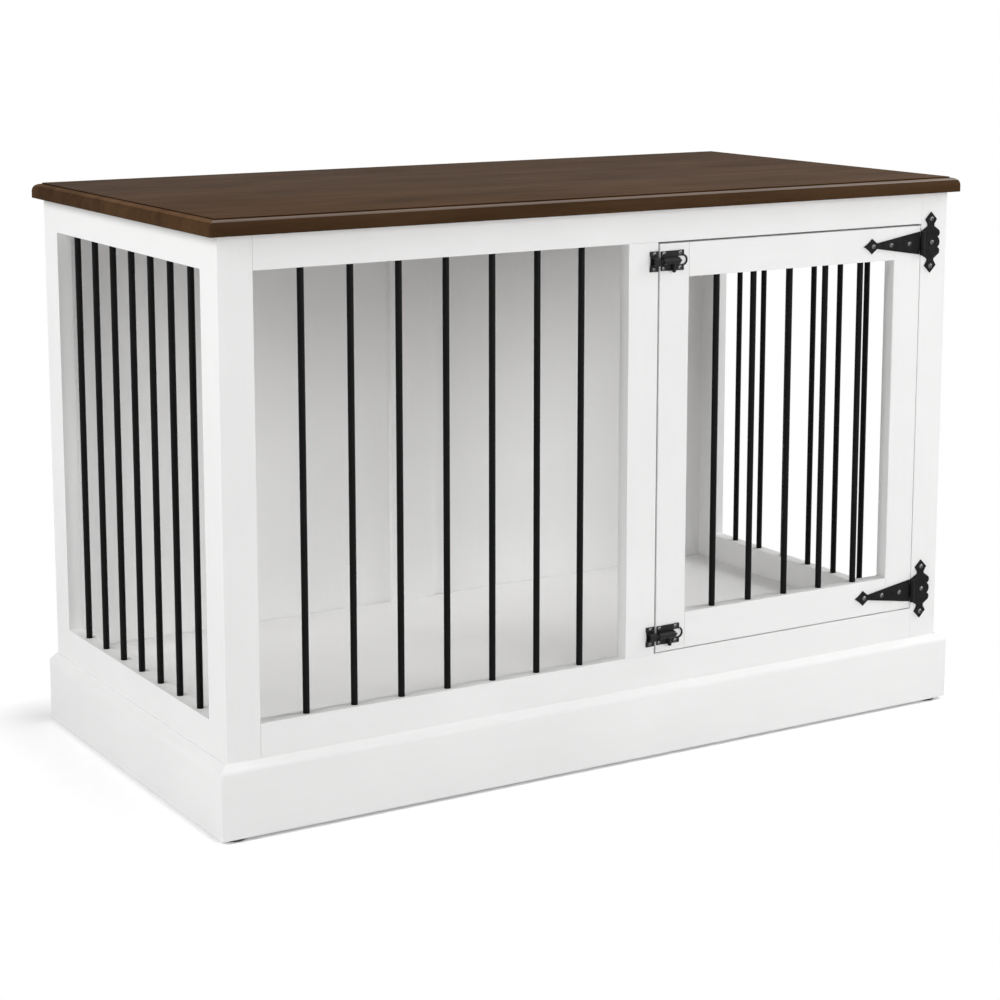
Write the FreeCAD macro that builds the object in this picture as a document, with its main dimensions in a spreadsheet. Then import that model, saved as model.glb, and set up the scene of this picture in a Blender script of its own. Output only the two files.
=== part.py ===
"""Furniture-style pet crate: a white timber cabinet with round bars, a stained top and a barred door.

The frame has +X to the right, +Y to the back and +Z up, in millimetres. The origin is on the floor,
under the middle of the top. Every piece is a node of its own, and its sizes follow the sheet.
"""
import FreeCAD
import Part
import Sketcher
import os
import re

# Driving dimensions, in millimetres. Names that end in share are parts of the size they follow.
SIZES = {
    # Cabinet frame
    "frame_width": 1050,
    "frame_depth": 526,
    "frame_height": 686.5,
    "board": 19,
    "stile_width": 44,
    "centre_stile_width": 43,
    "top_rail_height": 40.5,
    "bottom_rail_height": 127.5,
    "door_bay_width": 418.5,
    "corner_chamfer": 1.5,
    "edge_ease": 0.6,
    "seam_ease": 1.2,
    # Top board
    "top_overhang": 12,
    "top_thickness": 19.5,
    "top_step": 1.5,
    "top_step_inset": 11,
    "top_round": 10,
    # Skirting
    "skirting_height": 87,
    "skirting_thickness": 12,
    "skirting_lip": 2,
    "skirting_bevel_height": 7,
    "skirting_round": 6,
    # Back, floor and what carries them
    "panel_thickness": 9,
    "panel_lap": 9.5,
    "panel_clearance": 0.3,
    "batten_width": 66,
    "batten_thickness": 9,
    "back_rail_height": 40,
    "floor_height": 90,
    "floor_thickness": 12,
    "floor_clearance": 0.5,
    "cleat": 20,
    "bearer_width": 30,
    # Round bars
    "bar_diameter": 8,
    "bar_socket": 10,
    "bar_clearance": 0.1,
    "socket_play": 0.2,
    "front_end_gap_share": 1.0,
    "side_end_gap_share": 0.8,
    "door_end_gap_share": 0.85,
    # Door
    "door_gap_left": 2.5,
    "door_gap_right": 0.8,
    "door_gap_top": 2.5,
    "door_gap_bottom": 1.5,
    "door_stile_width": 44,
    "door_top_rail_height": 42.5,
    "door_bottom_rail_height": 46,
    # Dowels
    "dowel_diameter": 8,
    "dowel_length": 28,
    "door_dowel_length": 24,
    "dowel_clearance": 0.05,
    "dowel_play": 0.5,
    # Glides
    "glide_height": 4,
    "glide_diameter": 28,
    "glide_set_back": 4,
    "glide_corner_inset": 11,
    "glide_pin_diameter": 2.5,
    "glide_pin_length": 14,
    # Hinges
    "hinge_drop": 22.5,
    "hinge_rise": 24,
    "hinge_leaf": 2,
    "hinge_chamfer": 0.5,
    "knuckle_diameter": 6.4,
    "knuckle_height": 31,
    "knuckle_middle": 16,
    "knuckle_gap": 0.2,
    "knuckle_clearance": 0.35,
    "hinge_pin_diameter": 3,
    "hinge_pin_clearance": 0.05,
    "strap_length": 96.5,
    "strap_half_height": 15.5,
    "plate_reach": 31,
    "plate_half_height": 40,
    # Slide bolts
    "bolt_drop": 21,
    "bolt_rise": 21.5,
    "bolt_diameter": 6,
    "bolt_length": 27,
    "bolt_tail_diameter": 2.4,
    "bolt_tail_length": 5,
    "bolt_seat": 0.1,
    "bolt_clearance": 0.3,
    "bolt_tip_gap": 0.4,
    "bolt_lock_travel": 11,
    "bolt_draw_travel": 4,
    "bolt_plate_thickness": 1.5,
    "bolt_plate_inset": 0.8,
    "bolt_plate_length": 34,
    "bolt_plate_height": 25,
    "bolt_plate_notch": 1.2,
    "barrel_wall": 1.2,
    "barrel_length": 24.5,
    "bow_radius": 7,
    "bow_wall": 1.8,
    "bow_reach": 5.5,
    "knob_place": 18,
    "knob_stem_diameter": 4,
    "knob_diameter": 5.4,
    "knob_reach": 14.5,
    "keeper_length": 12.5,
    "keeper_height": 25,
    "keeper_inset": 0.5,
    "keeper_bridge_length": 9,
    "keeper_slot_height": 8,
    "keeper_slot_play": 0.4,
    "keeper_wall": 1.2,
    "keeper_round": 2.2,
    "keeper_waist": 1.2,
    # Screws
    "dome_screw_diameter": 3,
    "dome_screw_length": 13,
    "dome_head_diameter": 6.4,
    "dome_head_height": 1.8,
    "flush_screw_diameter": 2.4,
    "flush_screw_length": 10,
    "flush_head_diameter": 5.2,
    "flush_head_height": 1.4,
    "panel_screw_diameter": 3,
    "panel_screw_length": 16,
    "panel_head_diameter": 7,
    "panel_head_height": 2.2,
    "cleat_screw_diameter": 4,
    "cleat_screw_length": 32,
    "cleat_head_diameter": 8,
    "cleat_head_height": 2.4,
    "screw_clearance": 0.05,
    "screw_play": 0.5,
    # Angle brackets under the top
    "bracket_leg": 25,
    "bracket_width": 20,
    "bracket_sheet": 2,
    # How far a cutting shape starts outside the piece it cuts
    "cut_overrun": 1,
}

FRONT_BAR_COUNT = 7
SIDE_BAR_COUNT = 7
DOOR_BAR_COUNT = 5

# Formulas in the sheet's own names, for levels and lines that several pieces share
LEFT = "(-frame_width / 2)"
FRONT = "(-frame_depth / 2)"
BACK = "(frame_depth / 2)"
BASE = "glide_height"
FRAME_TOP = "(glide_height + frame_height)"
OPENING_LOW = "(glide_height + bottom_rail_height)"
OPENING_HIGH = f"({FRAME_TOP} - top_rail_height)"
FRONT_INSIDE = f"({FRONT} + board)"
FRONT_MIDDLE = f"({FRONT} + board / 2)"
SIDE_INSIDE = f"({LEFT} + board)"
SIDE_MIDDLE = f"({LEFT} + board / 2)"
PANEL_FACE = f"({BACK} - panel_thickness)"
BACK_RAIL_FACE = f"({PANEL_FACE} - board)"
FLOOR_TOP = "(glide_height + floor_height)"
FLOOR_LOW = f"({FLOOR_TOP} - floor_thickness)"
BAY_LEFT = f"({LEFT} + stile_width)"
DOOR_BAY_RIGHT = "(frame_width / 2 - stile_width)"
DOOR_BAY_LEFT = f"({DOOR_BAY_RIGHT} - door_bay_width)"
BAY_RIGHT = f"({DOOR_BAY_LEFT} - centre_stile_width)"
SIDE_BAY_FRONT = f"({FRONT} + stile_width)"
SIDE_BAY_BACK = f"({BACK} - stile_width)"
DOOR_LEFT = f"({DOOR_BAY_LEFT} + door_gap_left)"
DOOR_RIGHT = f"({DOOR_BAY_RIGHT} - door_gap_right)"
DOOR_LOW = f"({OPENING_LOW} + door_gap_bottom)"
DOOR_HIGH = f"({OPENING_HIGH} - door_gap_top)"
WINDOW_LEFT = f"({DOOR_LEFT} + door_stile_width)"
WINDOW_RIGHT = f"({DOOR_RIGHT} - door_stile_width)"
WINDOW_LOW = f"({DOOR_LOW} + door_bottom_rail_height)"
WINDOW_HIGH = f"({DOOR_HIGH} - door_top_rail_height)"
PIN_X = f"({DOOR_BAY_RIGHT} - door_gap_right / 2)"
PIN_Y = f"({FRONT} - knuckle_diameter / 2 - knuckle_clearance)"
HINGE_LEVELS = {"upper": f"({DOOR_HIGH} - hinge_drop)", "lower": f"({DOOR_LOW} + hinge_rise)"}
BOLT_LEVELS = {"upper": f"({DOOR_HIGH} - bolt_drop)", "lower": f"({DOOR_LOW} + bolt_rise)"}
BOLT_AXIS_Y = f"({FRONT} - bolt_plate_thickness - bolt_seat - bolt_diameter / 2)"
BOLT_PLATE_LEFT = f"({DOOR_LEFT} + bolt_plate_inset)"
KEEPER_RIGHT = f"({DOOR_BAY_LEFT} - keeper_inset)"
BOLT_TIP = f"({KEEPER_RIGHT} + bolt_tip_gap)"
KNOB_X = f"({DOOR_LEFT} + knob_place)"

# Turns that point a shape drawn along +Z along another axis
TURNS = {
    "+z": FreeCAD.Rotation(),
    "-z": FreeCAD.Rotation(FreeCAD.Vector(1, 0, 0), 180),
    "+y": FreeCAD.Rotation(FreeCAD.Vector(1, 0, 0), -90),
    "-y": FreeCAD.Rotation(FreeCAD.Vector(1, 0, 0), 90),
    "+x": FreeCAD.Rotation(FreeCAD.Vector(0, 1, 0), 90),
    "-x": FreeCAD.Rotation(FreeCAD.Vector(0, 1, 0), -90),
    # Upright, but turned about +Z
    "half": FreeCAD.Rotation(FreeCAD.Vector(0, 0, 1), 180),
    "clockwise": FreeCAD.Rotation(FreeCAD.Vector(0, 0, 1), -90),
    "anticlockwise": FreeCAD.Rotation(FreeCAD.Vector(0, 0, 1), 90),
}

doc = FreeCAD.newDocument("PetCrate")
sheet = doc.addObject("Spreadsheet::Sheet", "Sizes")
for row, (alias, number) in enumerate(SIZES.items(), start=1):
    sheet.set(f"A{row}", alias)
    sheet.set(f"B{row}", str(number))
    sheet.setAlias(f"B{row}", alias)
doc.recompute()

nodes = {}
sections_to_ease = []


def size(alias):
    """One driving dimension as a number."""
    return float(sheet.get(alias))


def bind(thing, prop, formula):
    """Tie a property to a formula written in the sheet's own names."""
    thing.setExpression(prop, re.sub(r"[a-z][a-z_]+", lambda found: f"Sizes.{found.group()}", formula))


def place(thing, at, turn="+z"):
    """Put an object at a point given by three formulas, pointing along one axis."""
    thing.Placement = FreeCAD.Placement(FreeCAD.Vector(), TURNS[turn])
    for letter, formula in zip("xyz", at):
        bind(thing, f"Placement.Base.{letter}", formula)


def keep(thing, label):
    """Mark a finished piece as a node of the part."""
    thing.Label = label
    nodes[label] = thing
    return thing


def stock(name, along, outline, length, at, eased=(), ease="edge_ease"):
    """A length of timber: a section with corners given by formulas, carried along one axis."""
    body = doc.addObject("PartDesign::Body", name)
    section = body.newObject("Sketcher::SketchObject", f"{name}_section")
    role = {"x": "YZ_Plane", "y": "XZ_Plane", "z": "XY_Plane"}[along]
    plane = next(feature for feature in body.Origin.OriginFeatures if feature.Role == role)
    section.AttachmentSupport = [(plane, "")]
    section.MapMode = "FlatFace"
    count = len(outline)
    starts = [FreeCAD.Vector(index, index ** 2, 0) for index in range(count)]
    for index in range(count):
        section.addGeometry(Part.LineSegment(starts[index], starts[(index + 1) % count]), False)
    for index in range(count):
        section.addConstraint(Sketcher.Constraint("Coincident", index, 2, (index + 1) % count, 1))
    for index, corner in enumerate(outline):
        for letter, kind, axis, formula in zip("uv", ("DistanceX", "DistanceY"), (-2, -1), corner):
            if formula == "0":
                section.addConstraint(Sketcher.Constraint("PointOnObject", index, 1, axis))
                continue
            number = section.addConstraint(Sketcher.Constraint(kind, -1, 1, index, 1, 1.0))
            section.renameConstraint(number, f"{letter}{index}")
            bind(section, f"Constraints.{letter}{index}", formula)
    pad = body.newObject("PartDesign::Pad", f"{name}_pad")
    pad.Profile = section
    pad.Reversed = along == "y"
    bind(pad, "Length", length)
    place(body, at)
    if eased:
        sections_to_ease.append((body, section, pad, along, eased, ease))
    return body


def ease_sections():
    """Round the long edges that rise from the chosen corners of each section."""
    doc.recompute()
    for body, section, pad, along, eased, ease in sections_to_ease:
        corners = [section.Geometry[index].StartPoint for index in eased]
        names = []
        for number, edge in enumerate(pad.Shape.Edges, start=1):
            ends = [vertex.Point for vertex in edge.Vertexes]
            if along == "x":
                flat = [FreeCAD.Vector(end.y, end.z, 0) for end in ends]
            elif along == "y":
                flat = [FreeCAD.Vector(end.x, end.z, 0) for end in ends]
            else:
                flat = [FreeCAD.Vector(end.x, end.y, 0) for end in ends]
            for corner in corners:
                if all(point.isEqual(corner, Part.Precision.confusion()) for point in flat):
                    names.append(f"Edge{number}")
        fillet = body.newObject("PartDesign::Fillet", f"{pad.Name}_ease")
        fillet.Base = (pad, names)
        bind(fillet, "Radius", ease)
    sections_to_ease.clear()


def rectangle(wide, high):
    """The four corners of a plain rectangular section."""
    return [("0", "0"), (wide, "0"), (wide, high), ("0", high)]


def block(name, sizes, at):
    """A plain rectangular block."""
    box = doc.addObject("Part::Box", name)
    for prop, formula in zip(("Length", "Width", "Height"), sizes):
        bind(box, prop, formula)
    place(box, at)
    return box


def rod(name, diameter, length, at, turn="+z"):
    """A plain round rod that starts at a point and runs along one axis."""
    cylinder = doc.addObject("Part::Cylinder", name)
    bind(cylinder, "Radius", f"({diameter}) / 2")
    bind(cylinder, "Height", length)
    place(cylinder, at, turn)
    return cylinder


def group(name, things):
    """Separate solids held together as one object."""
    compound = doc.addObject("Part::Compound", name)
    compound.Links = things
    return compound


def joined(name, things):
    """Shapes fused into one solid."""
    fusion = doc.addObject("Part::MultiFuse", name)
    fusion.Shapes = things
    fusion.Refine = True
    return fusion


def shared(name, things):
    """The space that all the shapes have in common."""
    common = doc.addObject("Part::MultiCommon", name)
    common.Shapes = things
    common.Refine = True
    return common


def cut(name, base, tools):
    """A shape with the tool shapes taken away."""
    result = doc.addObject("Part::Cut", name)
    result.Base = base
    result.Tool = tools[0] if len(tools) == 1 else group(f"{name}_tools", tools)
    return result


def copies(name, master, places):
    """Linked copies of one shape, each at its own point and turn."""
    links = []
    for number, (at, turn) in enumerate(places, start=1):
        link = doc.addObject("App::Link", f"{name}_{number}")
        link.LinkedObject = master
        place(link, at, turn)
        links.append(link)
    return links


def mirrored(name, source):
    """The same piece for the other side of the crate."""
    twin = doc.addObject("Part::Mirroring", name)
    twin.Source = source
    twin.Normal = FreeCAD.Vector(1, 0, 0)
    return twin


def spread(low, high, count, end_gap_share):
    """Formulas for bars at an even pitch, with end gaps that are a share of the pitch."""
    pitch = f"(({high} - {low}) / ({count - 1} + 2 * {end_gap_share}))"
    return [f"({low} + ({end_gap_share} + {index}) * {pitch})" for index in range(count)]


def along_shares(low, high, shares):
    """Formulas for points at shares of the way from one line to another."""
    return [f"({low} + ({high} - {low}) * {share})" for share in shares]


def screw_master(kind, domed):
    """A screw that points along +Z: its head stands on the surface, or is sunk flush with it."""
    head = size(f"{kind}_head_diameter") / 2
    rise = size(f"{kind}_head_height")
    shank = size(f"{kind}_screw_diameter") / 2
    length = size(f"{kind}_screw_length")
    screw = doc.addObject("Part::Feature", f"{kind}_screw_master")
    stem = Part.makeCylinder(shank, length)
    if domed:
        ball = (head ** 2 + rise ** 2) / (2 * rise)
        dome = Part.makeSphere(ball, FreeCAD.Vector(0, 0, ball - rise))
        cap = dome.common(Part.makeCylinder(head, rise, FreeCAD.Vector(0, 0, -rise)))
    else:
        cap = Part.makeCone(head, shank, rise)
    screw.Shape = cap.fuse(stem).removeSplitter()
    return screw


def screw_drill(kind, sunk):
    """The hole for a screw: a bore that clears its shank and, where it is sunk, its head."""
    clearance = size("screw_clearance")
    overrun = size("cut_overrun")
    shank = size(f"{kind}_screw_diameter") / 2 + clearance
    depth = size(f"{kind}_screw_length") + size("screw_play")
    drill = doc.addObject("Part::Feature", f"{kind}_drill_master")
    bore = Part.makeCylinder(shank, depth + overrun, FreeCAD.Vector(0, 0, -overrun))
    if sunk:
        head = size(f"{kind}_head_diameter") / 2 + clearance
        rise = size(f"{kind}_head_height")
        bore = bore.fuse(Part.makeCone(head, shank, rise))
        bore = bore.fuse(Part.makeCylinder(head, overrun, FreeCAD.Vector(0, 0, -overrun)))
        bore = bore.removeSplitter()
    drill.Shape = bore
    return drill


# Masters that are copied about the crate
BAR_LENGTH = f"({OPENING_HIGH} - {OPENING_LOW} + 2 * bar_socket)"
DOOR_BAR_LENGTH = f"({WINDOW_HIGH} - {WINDOW_LOW} + 2 * bar_socket)"
ORIGIN = ("0", "0", "0")
bar = rod("bar_master", "bar_diameter", BAR_LENGTH, ORIGIN)
door_bar = rod("door_bar_master", "bar_diameter", DOOR_BAR_LENGTH, ORIGIN)
socket = rod("socket_master", "bar_diameter + 2 * bar_clearance",
             "bar_socket + socket_play + cut_overrun", ORIGIN)
dowel = rod("dowel_master", "dowel_diameter", "dowel_length", ORIGIN)
door_dowel = rod("door_dowel_master", "dowel_diameter", "door_dowel_length", ORIGIN)
dowel_drill = rod("dowel_drill_master", "dowel_diameter + 2 * dowel_clearance",
                  "dowel_length + 2 * dowel_play", ORIGIN)
door_dowel_drill = rod("door_dowel_drill_master", "dowel_diameter + 2 * dowel_clearance",
                       "door_dowel_length + 2 * dowel_play", ORIGIN)
dome_screw = screw_master("dome", domed=True)
dome_drill = screw_drill("dome", sunk=False)
flush_screw = screw_master("flush", domed=False)
flush_drill = screw_drill("flush", sunk=True)
panel_screw = screw_master("panel", domed=True)
panel_drill = screw_drill("panel", sunk=False)
cleat_screw = screw_master("cleat", domed=False)
cleat_drill = screw_drill("cleat", sunk=True)


def sockets(name, spots):
    """Blind holes below and above an opening for bars that stand at the given points."""
    low = f"({OPENING_LOW} - bar_socket - socket_play)"
    high = f"({OPENING_HIGH} - cut_overrun)"
    lower = copies(f"{name}_low_socket", socket, [((x, y, low), "+z") for x, y in spots])
    upper = copies(f"{name}_high_socket", socket, [((x, y, high), "+z") for x, y in spots])
    return lower, upper


def bar_set(label, master, spots, low):
    """A row of bars as one node of separate solids."""
    foot = f"({low} - bar_socket)"
    bars = copies(f"{label}_bar", master, [((x, y, foot), "+z") for x, y in spots])
    return keep(group(label, bars), label)


# Where the dowels lie: the middle of each dowel and its direction
RAIL_SHARES = (0.32, 0.72)
BACK_RAIL_SHARES = (0.3, 0.7)
BOTTOM_RAIL_SHARES = (0.25, 0.75)
CENTRE_STILE_SHARES = (0.25, 0.62)
DOOR_RAIL_SHARES = (0.3, 0.75)
top_rail_levels = along_shares(OPENING_HIGH, FRAME_TOP, RAIL_SHARES)
bottom_rail_levels = along_shares(BASE, OPENING_LOW, BOTTOM_RAIL_SHARES)
back_low_levels = along_shares(f"({FLOOR_LOW} - back_rail_height)", FLOOR_LOW, BACK_RAIL_SHARES)
side_rail_levels = top_rail_levels + bottom_rail_levels
back_rail_levels = top_rail_levels + back_low_levels
back_middle = f"({BACK_RAIL_FACE} + board / 2)"


def dowel_ends(middles, turn, length):
    """Starting points of dowels from their middles, for a length along X, Y or Z."""
    spots = []
    for middle in middles:
        start = list(middle)
        start["xyz".index(turn)] = f"({middle['xyz'.index(turn)]} - ({length}) / 2)"
        spots.append((tuple(start), f"+{turn}"))
    return spots


def dowel_pair(name, middles, turn, length="dowel_length", master=dowel, drill=dowel_drill):
    """Dowels about their middles, and the holes for them."""
    pins = copies(f"{name}_dowel", master, dowel_ends(middles, turn, length))
    holes = copies(f"{name}_drill", drill, dowel_ends(middles, turn, f"{length} + 2 * dowel_play"))
    return pins, holes


left_top_pins, left_top_holes = dowel_pair(
    "front_left_top", [(BAY_LEFT, FRONT_MIDDLE, level) for level in top_rail_levels], "x")
left_low_pins, left_low_holes = dowel_pair(
    "front_left_low", [(BAY_LEFT, FRONT_MIDDLE, level) for level in bottom_rail_levels], "x")
right_top_pins, right_top_holes = dowel_pair(
    "front_right_top", [(DOOR_BAY_RIGHT, FRONT_MIDDLE, level) for level in top_rail_levels], "x")
right_low_pins, right_low_holes = dowel_pair(
    "front_right_low", [(DOOR_BAY_RIGHT, FRONT_MIDDLE, level) for level in bottom_rail_levels], "x")
centre_lines = along_shares(BAY_RIGHT, DOOR_BAY_LEFT, CENTRE_STILE_SHARES)
centre_low_pins, centre_low_holes = dowel_pair(
    "centre_low", [(line, FRONT_MIDDLE, OPENING_LOW) for line in centre_lines], "z")
centre_top_pins, centre_top_holes = dowel_pair(
    "centre_top", [(line, FRONT_MIDDLE, OPENING_HIGH) for line in centre_lines], "z")
side_front_pins, side_front_holes = dowel_pair(
    "side_front", [(SIDE_MIDDLE, SIDE_BAY_FRONT, level) for level in side_rail_levels], "y")
side_rear_pins, side_rear_holes = dowel_pair(
    "side_rear", [(SIDE_MIDDLE, SIDE_BAY_BACK, level) for level in side_rail_levels], "y")
back_end_pins, back_end_holes = dowel_pair(
    "back_end", [(SIDE_INSIDE, back_middle, level) for level in back_rail_levels], "x")
bearer_middle = f"({FLOOR_LOW} - cleat)"
bearer_front_pins, bearer_front_holes = dowel_pair(
    "bearer_front", [("0", FRONT_INSIDE, bearer_middle)], "y")
bearer_rear_pins, bearer_rear_holes = dowel_pair(
    "bearer_rear", [("0", BACK_RAIL_FACE, bearer_middle)], "y")

# Screws that hold the back panels, with their heads on the back face
STILE_SCREW_SHARES = (0.05, 0.27, 0.49, 0.71, 0.92)
BATTEN_SCREW_SHARES = (0.1, 0.37, 0.63, 0.9)
RAIL_SCREW_SHARES = (0.2, 0.5, 0.8)
stile_screw_x = f"({SIDE_INSIDE} - panel_lap / 2)"
panel_spots = [((stile_screw_x, BACK, level), "-y")
               for level in along_shares(BASE, FRAME_TOP, STILE_SCREW_SHARES)]
panel_spots += [(("(-batten_width / 4)", BACK, level), "-y")
                for level in along_shares(FLOOR_TOP, OPENING_HIGH, BATTEN_SCREW_SHARES)]
for level in (f"({FRAME_TOP} - top_rail_height / 2)", f"({FLOOR_LOW} - back_rail_height / 2)"):
    panel_spots += [((line, BACK, level), "-y")
                    for line in along_shares(SIDE_INSIDE, "(-batten_width / 4)", RAIL_SCREW_SHARES)]
panel_holes = copies("panel_hole", panel_drill, panel_spots)
panel_screws = copies("panel_screw", panel_screw, panel_spots)

# Screws through the floor cleats into the bottom rails
CLEAT_SCREW_SHARES = (0.12, 0.5, 0.88)
cleat_level = f"({FLOOR_LOW} - cleat / 2)"
side_cleat_spots = [((f"({SIDE_INSIDE} + cleat)", line, cleat_level), "-x")
                    for line in along_shares(FRONT_INSIDE, BACK_RAIL_FACE, CLEAT_SCREW_SHARES)]
front_cleat_left = f"({SIDE_INSIDE} + cleat)"
front_cleat_right = "(-bearer_width / 2)"
front_cleat_spots = [((line, f"({FRONT_INSIDE} + cleat)", cleat_level), "-y")
                     for line in along_shares(front_cleat_left, front_cleat_right, CLEAT_SCREW_SHARES)]
side_cleat_holes = copies("side_cleat_hole", cleat_drill, side_cleat_spots)
front_cleat_holes = copies("front_cleat_hole", cleat_drill, front_cleat_spots)
cleat_screws = copies("cleat_screw", cleat_screw, side_cleat_spots + front_cleat_spots)

# Angle brackets in the corner between the rails and the top, drawn against a rail to their front
BRACKET_SHARES = (0.18, 0.82)
bracket = joined("bracket_master", [
    block("bracket_wall_leg", ("bracket_width", "bracket_sheet", "bracket_leg"),
          ("-bracket_width / 2", "0", "-bracket_leg")),
    block("bracket_top_leg", ("bracket_width", "bracket_leg", "bracket_sheet"),
          ("-bracket_width / 2", "0", "-bracket_sheet")),
])
BRACKET_SCREW = "(bracket_sheet + (bracket_leg - bracket_sheet) / 2)"
bracket_lines = along_shares(LEFT, "(frame_width / 2)", BRACKET_SHARES)
bracket_places = []
bracket_screw_spots = {"front": [], "rear": [], "left": [], "right": [], "top": []}
low = f"({FRAME_TOP} - {BRACKET_SCREW})"
under = f"({FRAME_TOP} - bracket_sheet)"
for line in bracket_lines:
    bracket_places.append(((line, FRONT_INSIDE, FRAME_TOP), "+z"))
    bracket_places.append(((line, BACK_RAIL_FACE, FRAME_TOP), "half"))
    bracket_screw_spots["front"].append(((line, f"({FRONT_INSIDE} + bracket_sheet)", low), "-y"))
    bracket_screw_spots["rear"].append(((line, f"({BACK_RAIL_FACE} - bracket_sheet)", low), "+y"))
    bracket_screw_spots["top"].append(((line, f"({FRONT_INSIDE} + {BRACKET_SCREW})", under), "+z"))
    bracket_screw_spots["top"].append(((line, f"({BACK_RAIL_FACE} - {BRACKET_SCREW})", under), "+z"))
bracket_places.append(((SIDE_INSIDE, "0", FRAME_TOP), "clockwise"))
bracket_places.append((("(frame_width / 2 - board)", "0", FRAME_TOP), "anticlockwise"))
bracket_screw_spots["left"].append(((f"({SIDE_INSIDE} + bracket_sheet)", "0", low), "-x"))
bracket_screw_spots["right"].append((("(frame_width / 2 - board - bracket_sheet)", "0", low), "+x"))
bracket_screw_spots["top"].append(((f"({SIDE_INSIDE} + {BRACKET_SCREW})", "0", under), "+z"))
bracket_screw_spots["top"].append(((f"(frame_width / 2 - board - {BRACKET_SCREW})", "0", under), "+z"))
bracket_links = copies("bracket", bracket, bracket_places)
bracket_holes = {side: copies(f"bracket_{side}_hole", dome_drill, spots)
                 for side, spots in bracket_screw_spots.items()}
all_bracket_spots = [spot for spots in bracket_screw_spots.values() for spot in spots]
bracket_screws = copies("bracket_screw", dome_screw, all_bracket_spots)
bracket_steel = cut("top_brackets", group("bracket_sheets", bracket_links),
                    copies("bracket_leg_hole", dome_drill, all_bracket_spots))

# Glides under the corners, with a pin up into the stiles. The front ones show under the skirting.
FRONT_GLIDE_LINE = f"({FRONT} - skirting_thickness + glide_set_back + glide_diameter / 2)"
REAR_GLIDE_LINE = f"({BACK} - stile_width / 2)"
GLIDE_SPOTS = (
    (f"({LEFT} + glide_corner_inset)", FRONT_GLIDE_LINE),
    (SIDE_MIDDLE, REAR_GLIDE_LINE),
    ("(frame_width / 2 - glide_corner_inset)", FRONT_GLIDE_LINE),
    ("(frame_width / 2 - board / 2)", REAR_GLIDE_LINE),
)
glide = joined("glide_master", [
    rod("glide_disc", "glide_diameter", "glide_height", ORIGIN),
    rod("glide_pin", "glide_pin_diameter", "glide_height + glide_pin_length", ORIGIN),
])
glide_drill = rod("glide_drill_master", "glide_pin_diameter + 2 * dowel_clearance",
                  "glide_pin_length + dowel_play + cut_overrun", ORIGIN)
glides = copies("glide", glide, [((x, y, "0"), "+z") for x, y in GLIDE_SPOTS])
glide_holes = copies("glide_hole", glide_drill,
                     [((x, y, f"({BASE} - cut_overrun)"), "+z") for x, y in GLIDE_SPOTS[:2]])

# Bars and their sockets
front_lines = spread(BAY_LEFT, BAY_RIGHT, FRONT_BAR_COUNT, "front_end_gap_share")
front_spots = [(x, FRONT_MIDDLE) for x in front_lines]
side_lines = spread(SIDE_BAY_FRONT, SIDE_BAY_BACK, SIDE_BAR_COUNT, "side_end_gap_share")
left_spots = [(SIDE_MIDDLE, y) for y in side_lines]
right_spots = [("(frame_width / 2 - board / 2)", y) for y in side_lines]
front_low_sockets, front_high_sockets = sockets("front", front_spots)
side_low_sockets, side_high_sockets = sockets("side", left_spots)

# Front frame. The end stiles are mitred to the stiles of the sides along the corner.
mitred_front = [("corner_chamfer", "0"), ("stile_width", "0"), ("stile_width", "board"), ("board", "board"),
                ("corner_chamfer / 2", "corner_chamfer / 2")]
front_stile = stock("front_stile_blank", "z", mitred_front, "frame_height", (LEFT, FRONT, BASE),
                    eased=(1,), ease="seam_ease")
keep(cut("front_left_stile", front_stile, left_top_holes + left_low_holes + glide_holes[:1]),
     "front_left_stile")
centre_stile = stock("front_centre_stile_blank", "z", rectangle("centre_stile_width", "board"),
                     f"{OPENING_HIGH} - {OPENING_LOW}", (BAY_RIGHT, FRONT, OPENING_LOW),
                     eased=(0, 1, 2, 3))
FRONT_RAIL_LENGTH = f"{DOOR_BAY_RIGHT} - {BAY_LEFT}"
front_top = stock("front_top_rail_blank", "x", rectangle("board", "top_rail_height"),
                  FRONT_RAIL_LENGTH, (BAY_LEFT, FRONT, OPENING_HIGH), eased=(0, 1))
keep(cut("front_top_rail", front_top, left_top_holes + right_top_holes + centre_top_holes
         + front_high_sockets + bracket_holes["front"]), "front_top_rail")
front_bottom = stock("front_bottom_rail_blank", "x", rectangle("board", "bottom_rail_height"),
                     FRONT_RAIL_LENGTH, (BAY_LEFT, FRONT, BASE), eased=(2, 3))
front_cleat_holes_right = copies("front_cleat_hole_right", cleat_drill, [
    ((f"(-{x})", y, z), turn) for (x, y, z), turn in front_cleat_spots])
keep(cut("front_bottom_rail", front_bottom, left_low_holes + right_low_holes + centre_low_holes
         + front_low_sockets + bearer_front_holes + front_cleat_holes + front_cleat_holes_right),
     "front_bottom_rail")
bar_set("front_bars", bar, front_spots, OPENING_LOW)

# Left side frame, which the right side mirrors
mitred_side = [("corner_chamfer / 2", "corner_chamfer / 2"), ("board", "board"), ("board", "stile_width"),
               ("0", "stile_width"), ("0", "corner_chamfer")]
side_front = stock("left_front_stile_blank", "z", mitred_side, "frame_height", (LEFT, FRONT, BASE))
keep(cut("left_front_stile", side_front, side_front_holes), "left_front_stile")
rebated = [("0", "0"), ("board", "0"), ("board", "stile_width - panel_thickness"),
           ("board - panel_lap", "stile_width - panel_thickness"), ("board - panel_lap", "stile_width"),
           ("0", "stile_width")]
side_rear = stock("left_rear_stile_blank", "z", rebated, "frame_height", (LEFT, SIDE_BAY_BACK, BASE),
                  eased=(1, 5))
stile_panel_holes = copies("stile_panel_hole", panel_drill, panel_spots[:len(STILE_SCREW_SHARES)])
keep(cut("left_rear_stile", side_rear, side_rear_holes + back_end_holes + glide_holes[1:] + stile_panel_holes),
     "left_rear_stile")
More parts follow.
